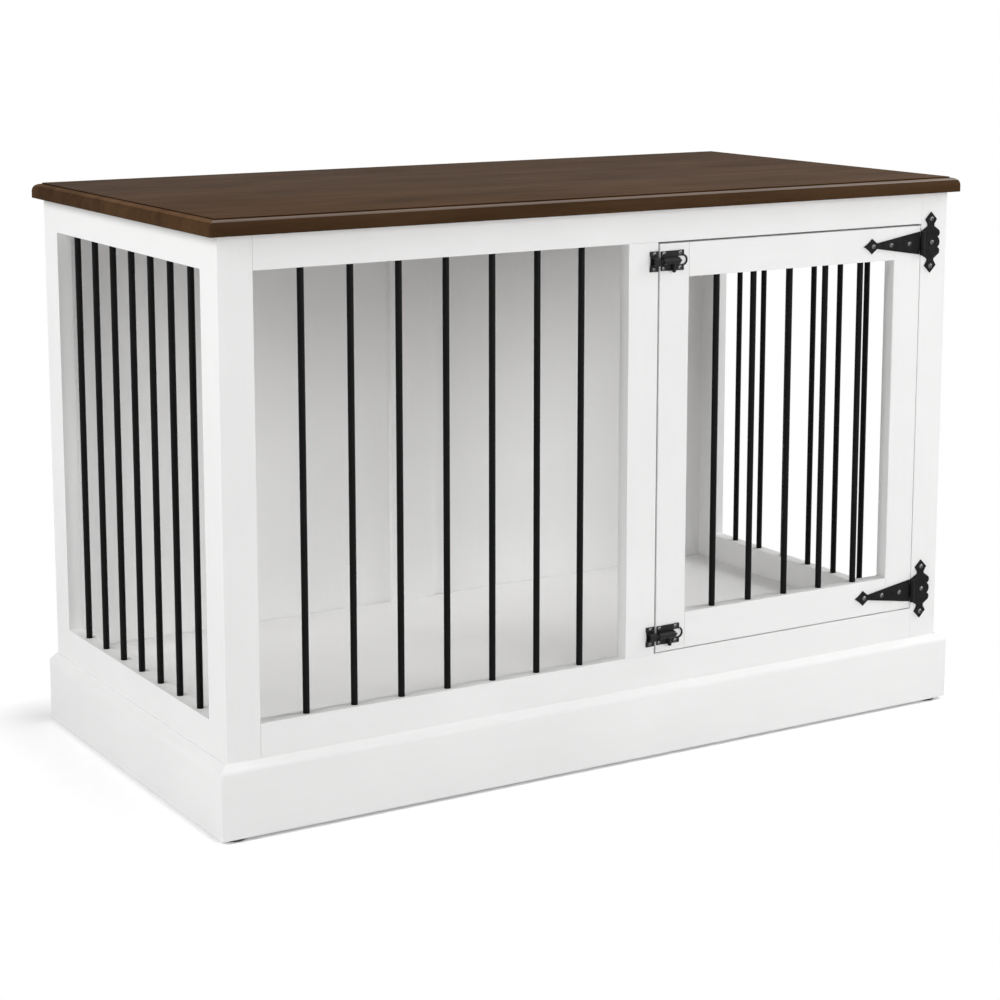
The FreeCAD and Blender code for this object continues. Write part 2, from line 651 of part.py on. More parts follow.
SIDE_RAIL_LENGTH = f"{SIDE_BAY_BACK} - {SIDE_BAY_FRONT}"
side_top = stock("left_top_rail_blank", "y", rectangle("board", "top_rail_height"),
                 SIDE_RAIL_LENGTH, (LEFT, SIDE_BAY_FRONT, OPENING_HIGH), eased=(0, 1))
top_dowel_holes = [hole for index, hole in enumerate(side_front_holes + side_rear_holes) if index % 4 < 2]
low_dowel_holes = [hole for index, hole in enumerate(side_front_holes + side_rear_holes) if index % 4 >= 2]
keep(cut("left_top_rail", side_top, top_dowel_holes + side_high_sockets + bracket_holes["left"]),
     "left_top_rail")
side_bottom = stock("left_bottom_rail_blank", "y", rectangle("board", "bottom_rail_height"),
                    SIDE_RAIL_LENGTH, (LEFT, SIDE_BAY_FRONT, BASE), eased=(2, 3))
keep(cut("left_bottom_rail", side_bottom, low_dowel_holes + side_low_sockets + side_cleat_holes),
     "left_bottom_rail")
for piece in ("front_stile", "rear_stile", "top_rail", "bottom_rail"):
    keep(mirrored(f"right_{piece}", nodes[f"left_{piece}"]), f"right_{piece}")
bar_set("left_bars", bar, left_spots, OPENING_LOW)
bar_set("right_bars", bar, right_spots, OPENING_LOW)

# Back: two panels lapped onto the rear stiles, a batten inside over their joint, and two rails
panel = block("back_panel_blank", (f"-{SIDE_INSIDE} + panel_lap - 2 * panel_clearance", "panel_thickness",
                                   "frame_height - panel_clearance"),
              (f"{SIDE_INSIDE} - panel_lap + panel_clearance", PANEL_FACE, BASE))
keep(cut("back_panel_left", panel, panel_holes), "back_panel_left")
keep(mirrored("back_panel_right", nodes["back_panel_left"]), "back_panel_right")
panel_spots_right = [((f"(-{x})", y, z), turn) for (x, y, z), turn in panel_spots]
panel_holes_right = copies("panel_hole_right", panel_drill, panel_spots_right)
batten_count = len(STILE_SCREW_SHARES) + len(BATTEN_SCREW_SHARES)
batten_slice = slice(len(STILE_SCREW_SHARES), batten_count)
top_slice = slice(batten_count, batten_count + len(RAIL_SCREW_SHARES))
low_slice = slice(batten_count + len(RAIL_SCREW_SHARES), None)
batten = stock("back_batten_blank", "z", rectangle("batten_width", "batten_thickness"),
               f"{OPENING_HIGH} - {FLOOR_TOP}",
               ("-batten_width / 2", f"{PANEL_FACE} - batten_thickness", FLOOR_TOP),
               eased=(0, 1))
batten_spots = panel_spots[batten_slice] + panel_spots_right[batten_slice]
keep(cut("back_batten", batten, copies("batten_hole", panel_drill, batten_spots)), "back_batten")
BACK_RAIL_LENGTH = f"-2 * {SIDE_INSIDE}"
back_end_holes_right = copies("back_end_drill_right", dowel_drill, [
    ((f"(-{SIDE_INSIDE} - (dowel_length + 2 * dowel_play) / 2)", back_middle, level), "+x")
    for level in back_rail_levels])
back_top = stock("back_top_rail_blank", "x", rectangle("board", "top_rail_height"),
                 BACK_RAIL_LENGTH, (SIDE_INSIDE, BACK_RAIL_FACE, OPENING_HIGH), eased=(0,))
keep(cut("back_top_rail", back_top, back_end_holes[:2] + back_end_holes_right[:2] + bracket_holes["rear"]
         + copies("back_top_hole", panel_drill, panel_spots[top_slice] + panel_spots_right[top_slice])),
     "back_top_rail")
back_low = stock("back_bottom_rail_blank", "x", rectangle("board", "back_rail_height"),
                 BACK_RAIL_LENGTH, (SIDE_INSIDE, BACK_RAIL_FACE, f"{FLOOR_LOW} - back_rail_height"),
                 eased=(0,))
keep(cut("back_bottom_rail", back_low, back_end_holes[2:] + back_end_holes_right[2:] + bearer_rear_holes
         + copies("back_low_hole", panel_drill, panel_spots[low_slice] + panel_spots_right[low_slice])),
     "back_bottom_rail")
keep(group("back_panel_screws", panel_screws + copies("panel_screw_right", panel_screw, panel_spots_right)),
     "back_panel_screws")

# Floor panel on its cleats and bearer
keep(stock("floor_panel", "z", rectangle(f"-2 * {SIDE_INSIDE} - 2 * floor_clearance",
                                         f"{PANEL_FACE} - {FRONT_INSIDE} - 2 * floor_clearance"),
           "floor_thickness",
           (f"{SIDE_INSIDE} + floor_clearance", f"{FRONT_INSIDE} + floor_clearance", FLOOR_LOW)),
     "floor_panel")
CLEAT_LOW = f"{FLOOR_LOW} - cleat"
side_cleat = block("left_floor_cleat_blank", ("cleat", f"{BACK_RAIL_FACE} - {FRONT_INSIDE}", "cleat"),
                   (SIDE_INSIDE, FRONT_INSIDE, CLEAT_LOW))
keep(cut("left_floor_cleat", side_cleat, side_cleat_holes), "left_floor_cleat")
keep(mirrored("right_floor_cleat", nodes["left_floor_cleat"]), "right_floor_cleat")
front_cleat = block("front_floor_cleat_blank",
                    (f"{front_cleat_right} - {front_cleat_left}", "cleat", "cleat"),
                    (front_cleat_left, FRONT_INSIDE, CLEAT_LOW))
left_cleat = cut("front_floor_cleat_left", front_cleat, front_cleat_holes)
keep(group("front_floor_cleats", [left_cleat, mirrored("front_floor_cleat_right", left_cleat)]),
     "front_floor_cleats")
bearer = block("floor_bearer_blank", ("bearer_width", f"{BACK_RAIL_FACE} - {FRONT_INSIDE}", "2 * cleat"),
               ("-bearer_width / 2", FRONT_INSIDE, f"{FLOOR_LOW} - 2 * cleat"))
keep(cut("floor_bearer", bearer, bearer_front_holes + bearer_rear_holes), "floor_bearer")
cleat_spots_right = [((f"(-{x})", y, z), "+x" if turn == "-x" else turn)
                     for (x, y, z), turn in side_cleat_spots + front_cleat_spots]
keep(group("cleat_screws", cleat_screws + copies("cleat_screw_right", cleat_screw, cleat_spots_right)),
     "cleat_screws")

# Skirting with a bevelled top edge, mitred at the front corners
SKIRT_LEFT = f"({LEFT} - skirting_thickness)"
SKIRT_FRONT = f"({FRONT} - skirting_thickness)"
SKIRT_LENGTH = "(frame_width + 2 * skirting_thickness)"
SKIRT_DEPTH = "(frame_depth + skirting_thickness)"
skirting_section = [("0", "0"), ("skirting_thickness", "0"), ("skirting_thickness", "skirting_height"),
                    ("skirting_thickness - skirting_lip", "skirting_height"),
                    ("0", "skirting_height - skirting_bevel_height")]
skirt_corner = (SKIRT_LEFT, SKIRT_FRONT, BASE)
skirt_run = stock("skirting_front_run", "x", skirting_section, SKIRT_LENGTH, skirt_corner,
                  eased=(4,), ease="skirting_round")
skirt_plan = stock("skirting_front_plan", "z",
                   [("0", "0"), (SKIRT_LENGTH, "0"),
                    (f"{SKIRT_LENGTH} - skirting_thickness", "skirting_thickness"),
                    ("skirting_thickness", "skirting_thickness")],
                   "skirting_height", skirt_corner)
keep(shared("skirting_front", [skirt_run, skirt_plan]), "skirting_front")
side_run = stock("skirting_left_run", "y", skirting_section, SKIRT_DEPTH, skirt_corner,
                 eased=(4,), ease="skirting_round")
side_plan = stock("skirting_left_plan", "z",
                  [("0", "0"), ("skirting_thickness", "skirting_thickness"),
                   ("skirting_thickness", SKIRT_DEPTH), ("0", SKIRT_DEPTH)],
                  "skirting_height", skirt_corner)
keep(shared("skirting_left", [side_run, side_plan]), "skirting_left")
keep(mirrored("skirting_right", nodes["skirting_left"]), "skirting_right")

# Top board: the moulded section carried along both axes, and what the two runs share
TOP_LENGTH = "(frame_width + 2 * top_overhang)"
TOP_DEPTH = "(frame_depth + 2 * top_overhang)"


def top_section(wide):
    """The section of the top: a rounded lower slab with a raised field on it."""
    shoulder = "top_thickness - top_step"
    return [("0", "0"), (wide, "0"), (wide, shoulder), (f"{wide} - top_step_inset", shoulder),
            (f"{wide} - top_step_inset", "top_thickness"), ("top_step_inset", "top_thickness"),
            ("top_step_inset", shoulder), ("0", shoulder)]


TOP_CORNER = (f"{LEFT} - top_overhang", f"{FRONT} - top_overhang", FRAME_TOP)
top_long = stock("top_long_run", "x", top_section(TOP_DEPTH), TOP_LENGTH, TOP_CORNER,
                 eased=(2, 7), ease="top_round")
top_cross = stock("top_cross_run", "y", top_section(TOP_LENGTH), TOP_DEPTH, TOP_CORNER,
                  eased=(2, 7), ease="top_round")
keep(cut("top_board", shared("top_blank", [top_long, top_cross]), bracket_holes["top"]), "top_board")

# Door frame and bars
door_rail_levels = {
    "top": along_shares(WINDOW_HIGH, DOOR_HIGH, DOOR_RAIL_SHARES),
    "bottom": along_shares(DOOR_LOW, WINDOW_LOW, DOOR_RAIL_SHARES),
}
door_pins = []
door_holes = {}
for rail, levels in door_rail_levels.items():
    for side, line in (("left", WINDOW_LEFT), ("right", WINDOW_RIGHT)):
        pins, holes = dowel_pair(f"door_{side}_{rail}", [(line, FRONT_MIDDLE, level) for level in levels],
                                 "x", "door_dowel_length", door_dowel, door_dowel_drill)
        door_pins += pins
        door_holes[side, rail] = holes
door_lines = spread(WINDOW_LEFT, WINDOW_RIGHT, DOOR_BAR_COUNT, "door_end_gap_share")
door_spots = [(x, FRONT_MIDDLE) for x in door_lines]
door_low_sockets = copies("door_low_socket", socket, [
    ((x, y, f"({WINDOW_LOW} - bar_socket - socket_play)"), "+z") for x, y in door_spots])
door_high_sockets = copies("door_high_socket", socket, [
    ((x, y, f"({WINDOW_HIGH} - cut_overrun)"), "+z") for x, y in door_spots])

# Hinges: screw places as shares of the strap's length, and of the plate's reach and half height
STRAP_SCREW_SHARES = (0.215, 0.53, 0.84)
PLATE_SCREW_SHARES = ((0.565, 0.0), (0.51, 0.775), (0.51, -0.775))
strap_screw_spots = []
plate_screw_spots = []
leaf_front = f"({FRONT} - hinge_leaf)"
for level in HINGE_LEVELS.values():
    for share in STRAP_SCREW_SHARES:
        strap_screw_spots.append(((f"({PIN_X} - strap_length * {share})", leaf_front, level), "+y"))
    for reach_share, height_share in PLATE_SCREW_SHARES:
        x = f"({PIN_X} + plate_reach * {reach_share})"
        z = f"({level} + plate_half_height * {height_share})"
        plate_screw_spots.append(((x, leaf_front, z), "+y"))
strap_screw_holes = copies("strap_screw_hole", dome_drill, strap_screw_spots)
plate_screw_holes = copies("plate_screw_hole", dome_drill, plate_screw_spots)

# Slide bolts: screw places as shares of the plates' sizes
BOLT_SCREW_SHARES = ((0.11, 0.36), (0.11, -0.36), (0.83, 0.37), (0.83, -0.37))
KEEPER_SCREW_SHARES = (0.37, -0.37)
bolt_screw_spots = []
keeper_screw_spots = []
bolt_plate_front = f"({FRONT} - bolt_plate_thickness)"
keeper_middle = f"({KEEPER_RIGHT} - keeper_length / 2)"
for level in BOLT_LEVELS.values():
    for length_share, height_share in BOLT_SCREW_SHARES:
        x = f"({BOLT_PLATE_LEFT} + bolt_plate_length * {length_share})"
        z = f"({level} + bolt_plate_height * {height_share})"
        bolt_screw_spots.append(((x, bolt_plate_front, z), "+y"))
    for height_share in KEEPER_SCREW_SHARES:
        z = f"({level} + keeper_height * {height_share})"
        keeper_screw_spots.append(((keeper_middle, bolt_plate_front, z), "+y"))
bolt_screw_holes = copies("bolt_screw_hole", flush_drill, bolt_screw_spots)
keeper_screw_holes = copies("keeper_screw_hole", flush_drill, keeper_screw_spots)

keep(cut("front_centre_stile", centre_stile, centre_low_holes + centre_top_holes + keeper_screw_holes),
     "front_centre_stile")
right_stile = mirrored("front_right_stile_blank", nodes["front_left_stile"])
keep(cut("front_right_stile", right_stile, plate_screw_holes), "front_right_stile")
DOOR_HEIGHT = f"{DOOR_HIGH} - {DOOR_LOW}"
door_left = stock("door_left_stile_blank", "z", rectangle("door_stile_width", "board"), DOOR_HEIGHT,
                  (DOOR_LEFT, FRONT, DOOR_LOW), eased=(0, 1, 2, 3), ease="seam_ease")
keep(cut("door_left_stile", door_left, door_holes["left", "top"] + door_holes["left", "bottom"]
         + bolt_screw_holes), "door_left_stile")
door_right = stock("door_right_stile_blank", "z", rectangle("door_stile_width", "board"), DOOR_HEIGHT,
                   (WINDOW_RIGHT, FRONT, DOOR_LOW), eased=(0, 1, 2, 3), ease="seam_ease")
keep(cut("door_right_stile", door_right, door_holes["right", "top"] + door_holes["right", "bottom"]
         + strap_screw_holes), "door_right_stile")
DOOR_RAIL_LENGTH = f"{WINDOW_RIGHT} - {WINDOW_LEFT}"
door_top = stock("door_top_rail_blank", "x", rectangle("board", "door_top_rail_height"), DOOR_RAIL_LENGTH,
                 (WINDOW_LEFT, FRONT, WINDOW_HIGH), eased=(0, 1, 2, 3))
keep(cut("door_top_rail", door_top, door_holes["left", "top"] + door_holes["right", "top"]
         + door_high_sockets + strap_screw_holes), "door_top_rail")
door_bottom = stock("door_bottom_rail_blank", "x", rectangle("board", "door_bottom_rail_height"),
                    DOOR_RAIL_LENGTH, (WINDOW_LEFT, FRONT, DOOR_LOW), eased=(0, 1, 2, 3))
keep(cut("door_bottom_rail", door_bottom, door_holes["left", "bottom"] + door_holes["right", "bottom"]
         + door_low_sockets + strap_screw_holes), "door_bottom_rail")
bar_set("door_bars", door_bar, door_spots, WINDOW_LOW)
keep(group("door_dowels", door_pins), "door_dowels")

back_end_pins_right = copies("back_end_dowel_right", dowel, [
    ((f"(-{SIDE_INSIDE} - dowel_length / 2)", back_middle, level), "+x")
    for level in back_rail_levels])
side_pins_right = copies("side_dowel_right", dowel, [
    (("(frame_width / 2 - board / 2)", f"({line} - dowel_length / 2)", level), "+y")
    for line in (SIDE_BAY_FRONT, SIDE_BAY_BACK) for level in side_rail_levels])
keep(group("frame_dowels", left_top_pins + left_low_pins + right_top_pins + right_low_pins + centre_low_pins
           + centre_top_pins + side_front_pins + side_rear_pins + side_pins_right + back_end_pins
           + back_end_pins_right + bearer_front_pins + bearer_rear_pins), "frame_dowels")
keep(group("corner_glides", glides), "corner_glides")
keep(bracket_steel, "top_brackets")
keep(group("top_bracket_screws", bracket_screws), "top_bracket_screws")
for label, master, spots in (("hinge_strap_screws", dome_screw, strap_screw_spots),
                             ("hinge_plate_screws", dome_screw, plate_screw_spots),
                             ("bolt_plate_screws", flush_screw, bolt_screw_spots),
                             ("keeper_screws", flush_screw, keeper_screw_spots)):
    keep(group(label, copies(f"{label}_copy", master, spots)), label)

# Outlines of the hinge leaves, from the pin. Each step is a corner, or the middle and the end of an arc.
STRAP_START_SHARES = (0.0, 1.0)
STRAP_SHARES = (
    ((0.775, 0.23),),
    ((0.86, 0.64),),
    ((0.924, 0.275), (1.0, 0.0)),
    ((0.924, -0.275), (0.86, -0.64)),
    ((0.775, -0.23),),
    ((0.0, -1.0),),
)
PLATE_START_SHARES = (0.0, -0.388)
PLATE_HALF_SHARES = (
    ((0.0, 0.388),),
    ((0.33, 0.53),),
    ((0.33, 0.6),),
    ((0.2, 0.76),),
    ((0.51, 1.0),),
    ((0.82, 0.76),),
    ((0.69, 0.6),),
    ((0.69, 0.53),),
    ((0.9, 0.42),),
    ((1.0, 0.3), (0.88, 0.17)),
    ((1.0, 0.0), (0.88, -0.17)),
)


def outline_wire(start, steps, wide, high):
    """A closed wire through corners and arcs given as shares of two sizes, in the plane of the leaf."""
    def point(shares):
        return FreeCAD.Vector(shares[0] * wide, 0, shares[1] * high)

    edges = []
    here = point(start)
    for step in steps:
        there = point(step[-1])
        if len(step) == 1:
            edges.append(Part.LineSegment(here, there).toShape())
        else:
            edges.append(Part.Arc(here, point(step[0]), there).toShape())
        here = there
    if not here.isEqual(point(start), Part.Precision.confusion()):
        edges.append(Part.LineSegment(here, point(start)).toShape())
    return Part.Wire(edges)


def leaf_solid(wire):
    """A leaf of sheet steel behind the pin, with the front edge of its outline bevelled."""
    thickness = size("hinge_leaf")
    front = size("knuckle_diameter") / 2 + size("knuckle_clearance") - thickness
    leaf = Part.Face(wire).extrude(FreeCAD.Vector(0, thickness, 0))
    leaf.translate(FreeCAD.Vector(0, front, 0))
    if leaf.Volume < 0:
        leaf.reverse()
    rim = [edge for edge in leaf.Edges if abs(edge.BoundBox.YMax - front) < Part.Precision.confusion()]
    return leaf.makeChamfer(size("hinge_chamfer"), rim)


def knuckle(low, high):
    """A round knuckle about the pin between two heights."""
    return Part.makeCylinder(size("knuckle_diameter") / 2, high - low, FreeCAD.Vector(0, 0, low))


def knuckle_room(low, high):
    """The square space that the other leaf's knuckle turns in."""
    half = size("knuckle_diameter") / 2 + size("knuckle_clearance")
    return Part.makeBox(2 * half, 2 * half, high - low, FreeCAD.Vector(-half, -half, low))


def leaf_with_knuckles(wire, own, other, holes):
    """A leaf joined to its own knuckles, cleared for the other leaf's, bored for the pin and drilled."""
    solid = leaf_solid(wire)
    for low, high in other:
        solid = solid.cut(knuckle_room(low, high))
    for low, high in own:
        solid = solid.fuse(knuckle(low, high))
    reach = size("knuckle_height")
    bore = size("hinge_pin_diameter") / 2 + size("hinge_pin_clearance")
    solid = solid.cut(Part.makeCylinder(bore, 2 * reach, FreeCAD.Vector(0, 0, -reach)))
    drill = size("dome_screw_diameter") / 2 + size("screw_clearance")
    for x, z in holes:
        start = FreeCAD.Vector(x, -reach, z)
        solid = solid.cut(Part.makeCylinder(drill, 2 * reach, start, FreeCAD.Vector(0, 1, 0)))
    return solid.removeSplitter()


def hinge_piece(label, shape, level):
    """One piece of a hinge, drawn about the middle of the pin and put at its height on the door."""
    piece = doc.addObject("Part::Feature", label)
    piece.Shape = shape
    place(piece, (PIN_X, PIN_Y, level))
    return keep(piece, label)


half_knuckle = size("knuckle_height") / 2
half_middle = size("knuckle_middle") / 2
gap = size("knuckle_gap") / 2
strap_own = [(-half_middle + gap, half_middle - gap)]
strap_other = [(-half_knuckle - gap, -half_middle + gap), (half_middle - gap, half_knuckle + gap)]
plate_own = [(-half_knuckle, -half_middle - gap), (half_middle + gap, half_knuckle)]
plate_other = [(-half_middle - gap, half_middle + gap)]
strap_wire = outline_wire(STRAP_START_SHARES, STRAP_SHARES,
                          -size("strap_length"), -size("strap_half_height"))
plate_steps = list(PLATE_HALF_SHARES)
ends = [PLATE_START_SHARES] + [step[-1] for step in PLATE_HALF_SHARES]
for index in range(len(PLATE_HALF_SHARES) - 2, 0, -1):
    mirrored = [*PLATE_HALF_SHARES[index][:-1], ends[index]]
    plate_steps.append(tuple((reach, -rise) for reach, rise in mirrored))
plate_wire = outline_wire(PLATE_START_SHARES, plate_steps, size("plate_reach"), size("plate_half_height"))
strap_holes = [(-size("strap_length") * share, 0) for share in STRAP_SCREW_SHARES]
plate_holes = [(size("plate_reach") * reach_share, size("plate_half_height") * height_share)
               for reach_share, height_share in PLATE_SCREW_SHARES]
strap_shape = leaf_with_knuckles(strap_wire, strap_own, strap_other, strap_holes)
plate_shape = leaf_with_knuckles(plate_wire, plate_own, plate_other, plate_holes)
for level_name, level in HINGE_LEVELS.items():
    hinge_piece(f"{level_name}_hinge_strap", strap_shape, level)
    hinge_piece(f"{level_name}_hinge_plate", plate_shape, level)
pins = [rod(f"{level_name}_hinge_pin", "hinge_pin_diameter", "knuckle_height",
            (PIN_X, PIN_Y, f"{level} - knuckle_height / 2")) for level_name, level in HINGE_LEVELS.items()]
keep(group("hinge_pins", pins), "hinge_pins")


def bolt_plate(name, level):
    """The plate of a slide bolt: three lobes, a barrel with a slot for the knob, and a bow at its tail."""
    lobe_shares = ((0.0, 0.24, 0.96), (0.27, 0.77, 0.98), (0.8, 1.0, 1.0))
    web_half = "(bolt_plate_height / 2 - bolt_plate_notch)"
    bore = "(bolt_diameter + 2 * bolt_clearance)"
    pieces = [block(f"{name}_web", ("bolt_plate_length", "bolt_plate_thickness", f"2 * {web_half}"),
                    (BOLT_PLATE_LEFT, bolt_plate_front, f"{level} - {web_half}"))]
    for number, (start, end, height) in enumerate(lobe_shares, start=1):
        pieces.append(block(f"{name}_lobe_{number}",
                            (f"bolt_plate_length * ({end} - {start})", "bolt_plate_thickness",
                             f"bolt_plate_height * {height}"),
                            (f"{BOLT_PLATE_LEFT} + bolt_plate_length * {start}", bolt_plate_front,
                             f"{level} - bolt_plate_height * {height} / 2")))
    bow_x = f"({BOLT_PLATE_LEFT} + bolt_plate_length + bow_reach - bow_radius)"
    pieces.append(rod(f"{name}_bow", "2 * bow_radius", "bolt_plate_thickness",
                      (bow_x, bolt_plate_front, level), "+y"))
    pieces.append(rod(f"{name}_barrel", f"{bore} + 2 * barrel_wall", "barrel_length",
                      (BOLT_PLATE_LEFT, BOLT_AXIS_Y, level), "+x"))
    window = "(bow_radius - bow_wall)"
    slot = "(knob_stem_diameter + 2 * bolt_clearance)"
    slot_left = f"({KNOB_X} - bolt_lock_travel - {slot} / 2)"
    slot_length = f"(bolt_lock_travel + bolt_draw_travel + {slot})"
    window_left = f"({BOLT_PLATE_LEFT} + barrel_length + barrel_wall)"
    tools = [
        rod(f"{name}_bore", bore, "barrel_length + 2 * cut_overrun",
            (f"{BOLT_PLATE_LEFT} - cut_overrun", BOLT_AXIS_Y, level), "+x"),
        block(f"{name}_slot", (slot_length, slot, bore),
              (slot_left, f"{BOLT_AXIS_Y} - {slot} / 2", f"{level} - {bore}")),
        rod(f"{name}_window_end", f"2 * {window}", "bolt_plate_thickness + 2 * cut_overrun",
            (bow_x, f"{bolt_plate_front} - cut_overrun", level), "+y"),
        block(f"{name}_window", (f"{bow_x} - {window_left}", "bolt_plate_thickness + 2 * cut_overrun",
                                 f"2 * {window}"),
              (window_left, f"{bolt_plate_front} - cut_overrun", f"{level} - {window}")),
    ]
    return joined(f"{name}_blank", pieces), tools


def keeper(name, level):
    """The keeper on the centre stile: a waisted plate with a bridge that the bolt slides under."""
    slot_depth = "(bolt_seat + bolt_diameter + keeper_slot_play)"
    bridge_high = "(keeper_slot_height + 2 * keeper_wall)"
    bridge_deep = f"(bolt_plate_thickness + {slot_depth} + keeper_wall)"
    left = f"({KEEPER_RIGHT} - keeper_length)"
    plate = block(f"{name}_plate", ("keeper_length", "bolt_plate_thickness", "keeper_height"),
                  (left, bolt_plate_front, f"{level} - keeper_height / 2"))
    bridge = stock(f"{name}_bridge", "x", rectangle(bridge_deep, bridge_high), "keeper_bridge_length",
                   (f"{keeper_middle} - keeper_bridge_length / 2", f"{FRONT} - {bridge_deep}",
                    f"{level} - {bridge_high} / 2"), eased=(0, 3), ease="keeper_round")
    waist_radius = "keeper_height"
    tools = [
        block(f"{name}_slot", ("keeper_length + 2 * cut_overrun", slot_depth, "keeper_slot_height"),
              (f"{left} - cut_overrun", f"{bolt_plate_front} - {slot_depth}",
               f"{level} - keeper_slot_height / 2")),
        rod(f"{name}_waist", f"2 * {waist_radius}", "bolt_plate_thickness + 2 * cut_overrun",
            (f"{left} + keeper_waist - {waist_radius}", f"{bolt_plate_front} - cut_overrun", level), "+y"),
    ]
    return joined(f"{name}_blank", [plate, bridge]), tools


screw_count = len(BOLT_SCREW_SHARES)
keeper_count = len(KEEPER_SCREW_SHARES)
for number, (level_name, level) in enumerate(BOLT_LEVELS.items()):
    blank, tools = bolt_plate(f"{level_name}_bolt_plate", level)
    tools += copies(f"{level_name}_bolt_plate_hole", flush_drill,
                    bolt_screw_spots[number * screw_count:(number + 1) * screw_count])
    keep(cut(f"{level_name}_bolt_plate", blank, tools), f"{level_name}_bolt_plate")
    blank, tools = keeper(f"{level_name}_keeper", level)
    tools += copies(f"{level_name}_keeper_hole", flush_drill,
                    keeper_screw_spots[number * keeper_count:(number + 1) * keeper_count])
    keep(cut(f"{level_name}_keeper", blank, tools), f"{level_name}_keeper")
    bolt = joined(f"{level_name}_bolt_blank", [
        rod(f"{level_name}_bolt_bar", "bolt_diameter", "bolt_length", (BOLT_TIP, BOLT_AXIS_Y, level), "+x"),
        rod(f"{level_name}_bolt_tail", "bolt_tail_diameter", "bolt_length + bolt_tail_length",
            (BOLT_TIP, BOLT_AXIS_Y, level), "+x"),
    ])
    stem_hole = rod(f"{level_name}_bolt_stem_hole", "knob_stem_diameter + 2 * screw_clearance",
                    "bolt_diameter", (KNOB_X, BOLT_AXIS_Y, level), "-z")
    keep(cut(f"{level_name}_bolt", bolt, [stem_hole]), f"{level_name}_bolt")
    ball = doc.addObject("Part::Sphere", f"{level_name}_knob_ball")
    bind(ball, "Radius", "knob_diameter / 2")
    place(ball, (KNOB_X, BOLT_AXIS_Y, f"{level} - knob_reach + knob_diameter / 2"))
    stem = rod(f"{level_name}_knob_stem", "knob_stem_diameter", "knob_reach - knob_diameter / 2",
               (KNOB_X, BOLT_AXIS_Y, level), "-z")
    keep(joined(f"{level_name}_bolt_knob", [ball, stem]), f"{level_name}_bolt_knob")

ease_sections()
doc.recompute()

# Every object has to be sound before anything is written
for thing in doc.Objects:
    faults = [state for state in thing.State if state in ("Invalid", "Error")]
    if faults:
        raise RuntimeError(f"{thing.Label} failed: {faults}")
for label, thing in nodes.items():
    if thing.Shape.isNull() or not thing.Shape.isValid() or not thing.Shape.Solids:
        raise RuntimeError(f"{label} has no sound shape")

os.makedirs("parts", exist_ok=True)
for label, thing in nodes.items():
    thing.Shape.exportStep(f"parts/{label}.step")
box = FreeCAD.BoundBox()
for thing in nodes.values():
    box.add(thing.Shape.BoundBox)
print(f"{len(nodes)} nodes, {sum(len(thing.Shape.Solids) for thing in nodes.values())} solids")
print(f"X {box.XMin:.2f} {box.XMax:.2f}  Y {box.YMin:.2f} {box.YMax:.2f}  Z {box.ZMin:.2f} {box.ZMax:.2f}")
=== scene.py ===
"""Paints, stains and details a furniture-style pet crate, and sets it in a plain studio.

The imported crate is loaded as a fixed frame. Its boards, bars and ironwork take procedural finishes, and
the moulded top, the skirting, the bolts and the screw heads are made finer than their plain solids.
"""

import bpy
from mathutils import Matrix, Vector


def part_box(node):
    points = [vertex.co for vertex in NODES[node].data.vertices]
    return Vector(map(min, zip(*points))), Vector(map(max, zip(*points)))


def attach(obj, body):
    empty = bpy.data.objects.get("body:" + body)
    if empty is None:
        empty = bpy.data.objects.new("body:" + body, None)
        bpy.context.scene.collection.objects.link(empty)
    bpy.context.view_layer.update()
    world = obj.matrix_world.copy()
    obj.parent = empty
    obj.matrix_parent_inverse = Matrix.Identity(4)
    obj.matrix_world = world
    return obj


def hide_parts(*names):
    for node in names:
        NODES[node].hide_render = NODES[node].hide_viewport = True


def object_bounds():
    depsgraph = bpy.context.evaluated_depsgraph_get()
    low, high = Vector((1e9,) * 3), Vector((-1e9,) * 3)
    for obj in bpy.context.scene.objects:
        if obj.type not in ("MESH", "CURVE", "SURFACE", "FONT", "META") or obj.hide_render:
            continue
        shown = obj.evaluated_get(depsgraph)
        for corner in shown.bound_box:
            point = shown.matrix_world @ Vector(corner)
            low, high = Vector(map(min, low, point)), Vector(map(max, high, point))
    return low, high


bl_info = {
    "name": "Pet Crate Finishes",
    "version": (1, 0, 0),
    "blender": (4, 5, 0),
    "location": "View3D > Sidebar > Pet Crate",
    "description": "Paints, stains and details a barred pet crate and sets it in a plain studio",
    "category": "Object",
}

import math

import bmesh
import bpy
import numpy as np
from bpy.props import FloatProperty, FloatVectorProperty, IntProperty, PointerProperty
from bpy.types import NodeSocket, Operator, Panel, PropertyGroup
from mathutils import Vector

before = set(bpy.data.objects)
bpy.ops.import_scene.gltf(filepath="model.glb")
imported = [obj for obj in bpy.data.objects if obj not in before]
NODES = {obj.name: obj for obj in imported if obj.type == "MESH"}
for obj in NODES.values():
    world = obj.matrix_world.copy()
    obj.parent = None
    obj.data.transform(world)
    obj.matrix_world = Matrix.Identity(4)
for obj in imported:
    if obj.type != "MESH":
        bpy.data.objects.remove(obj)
CAD_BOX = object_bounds()
MM = 0.001

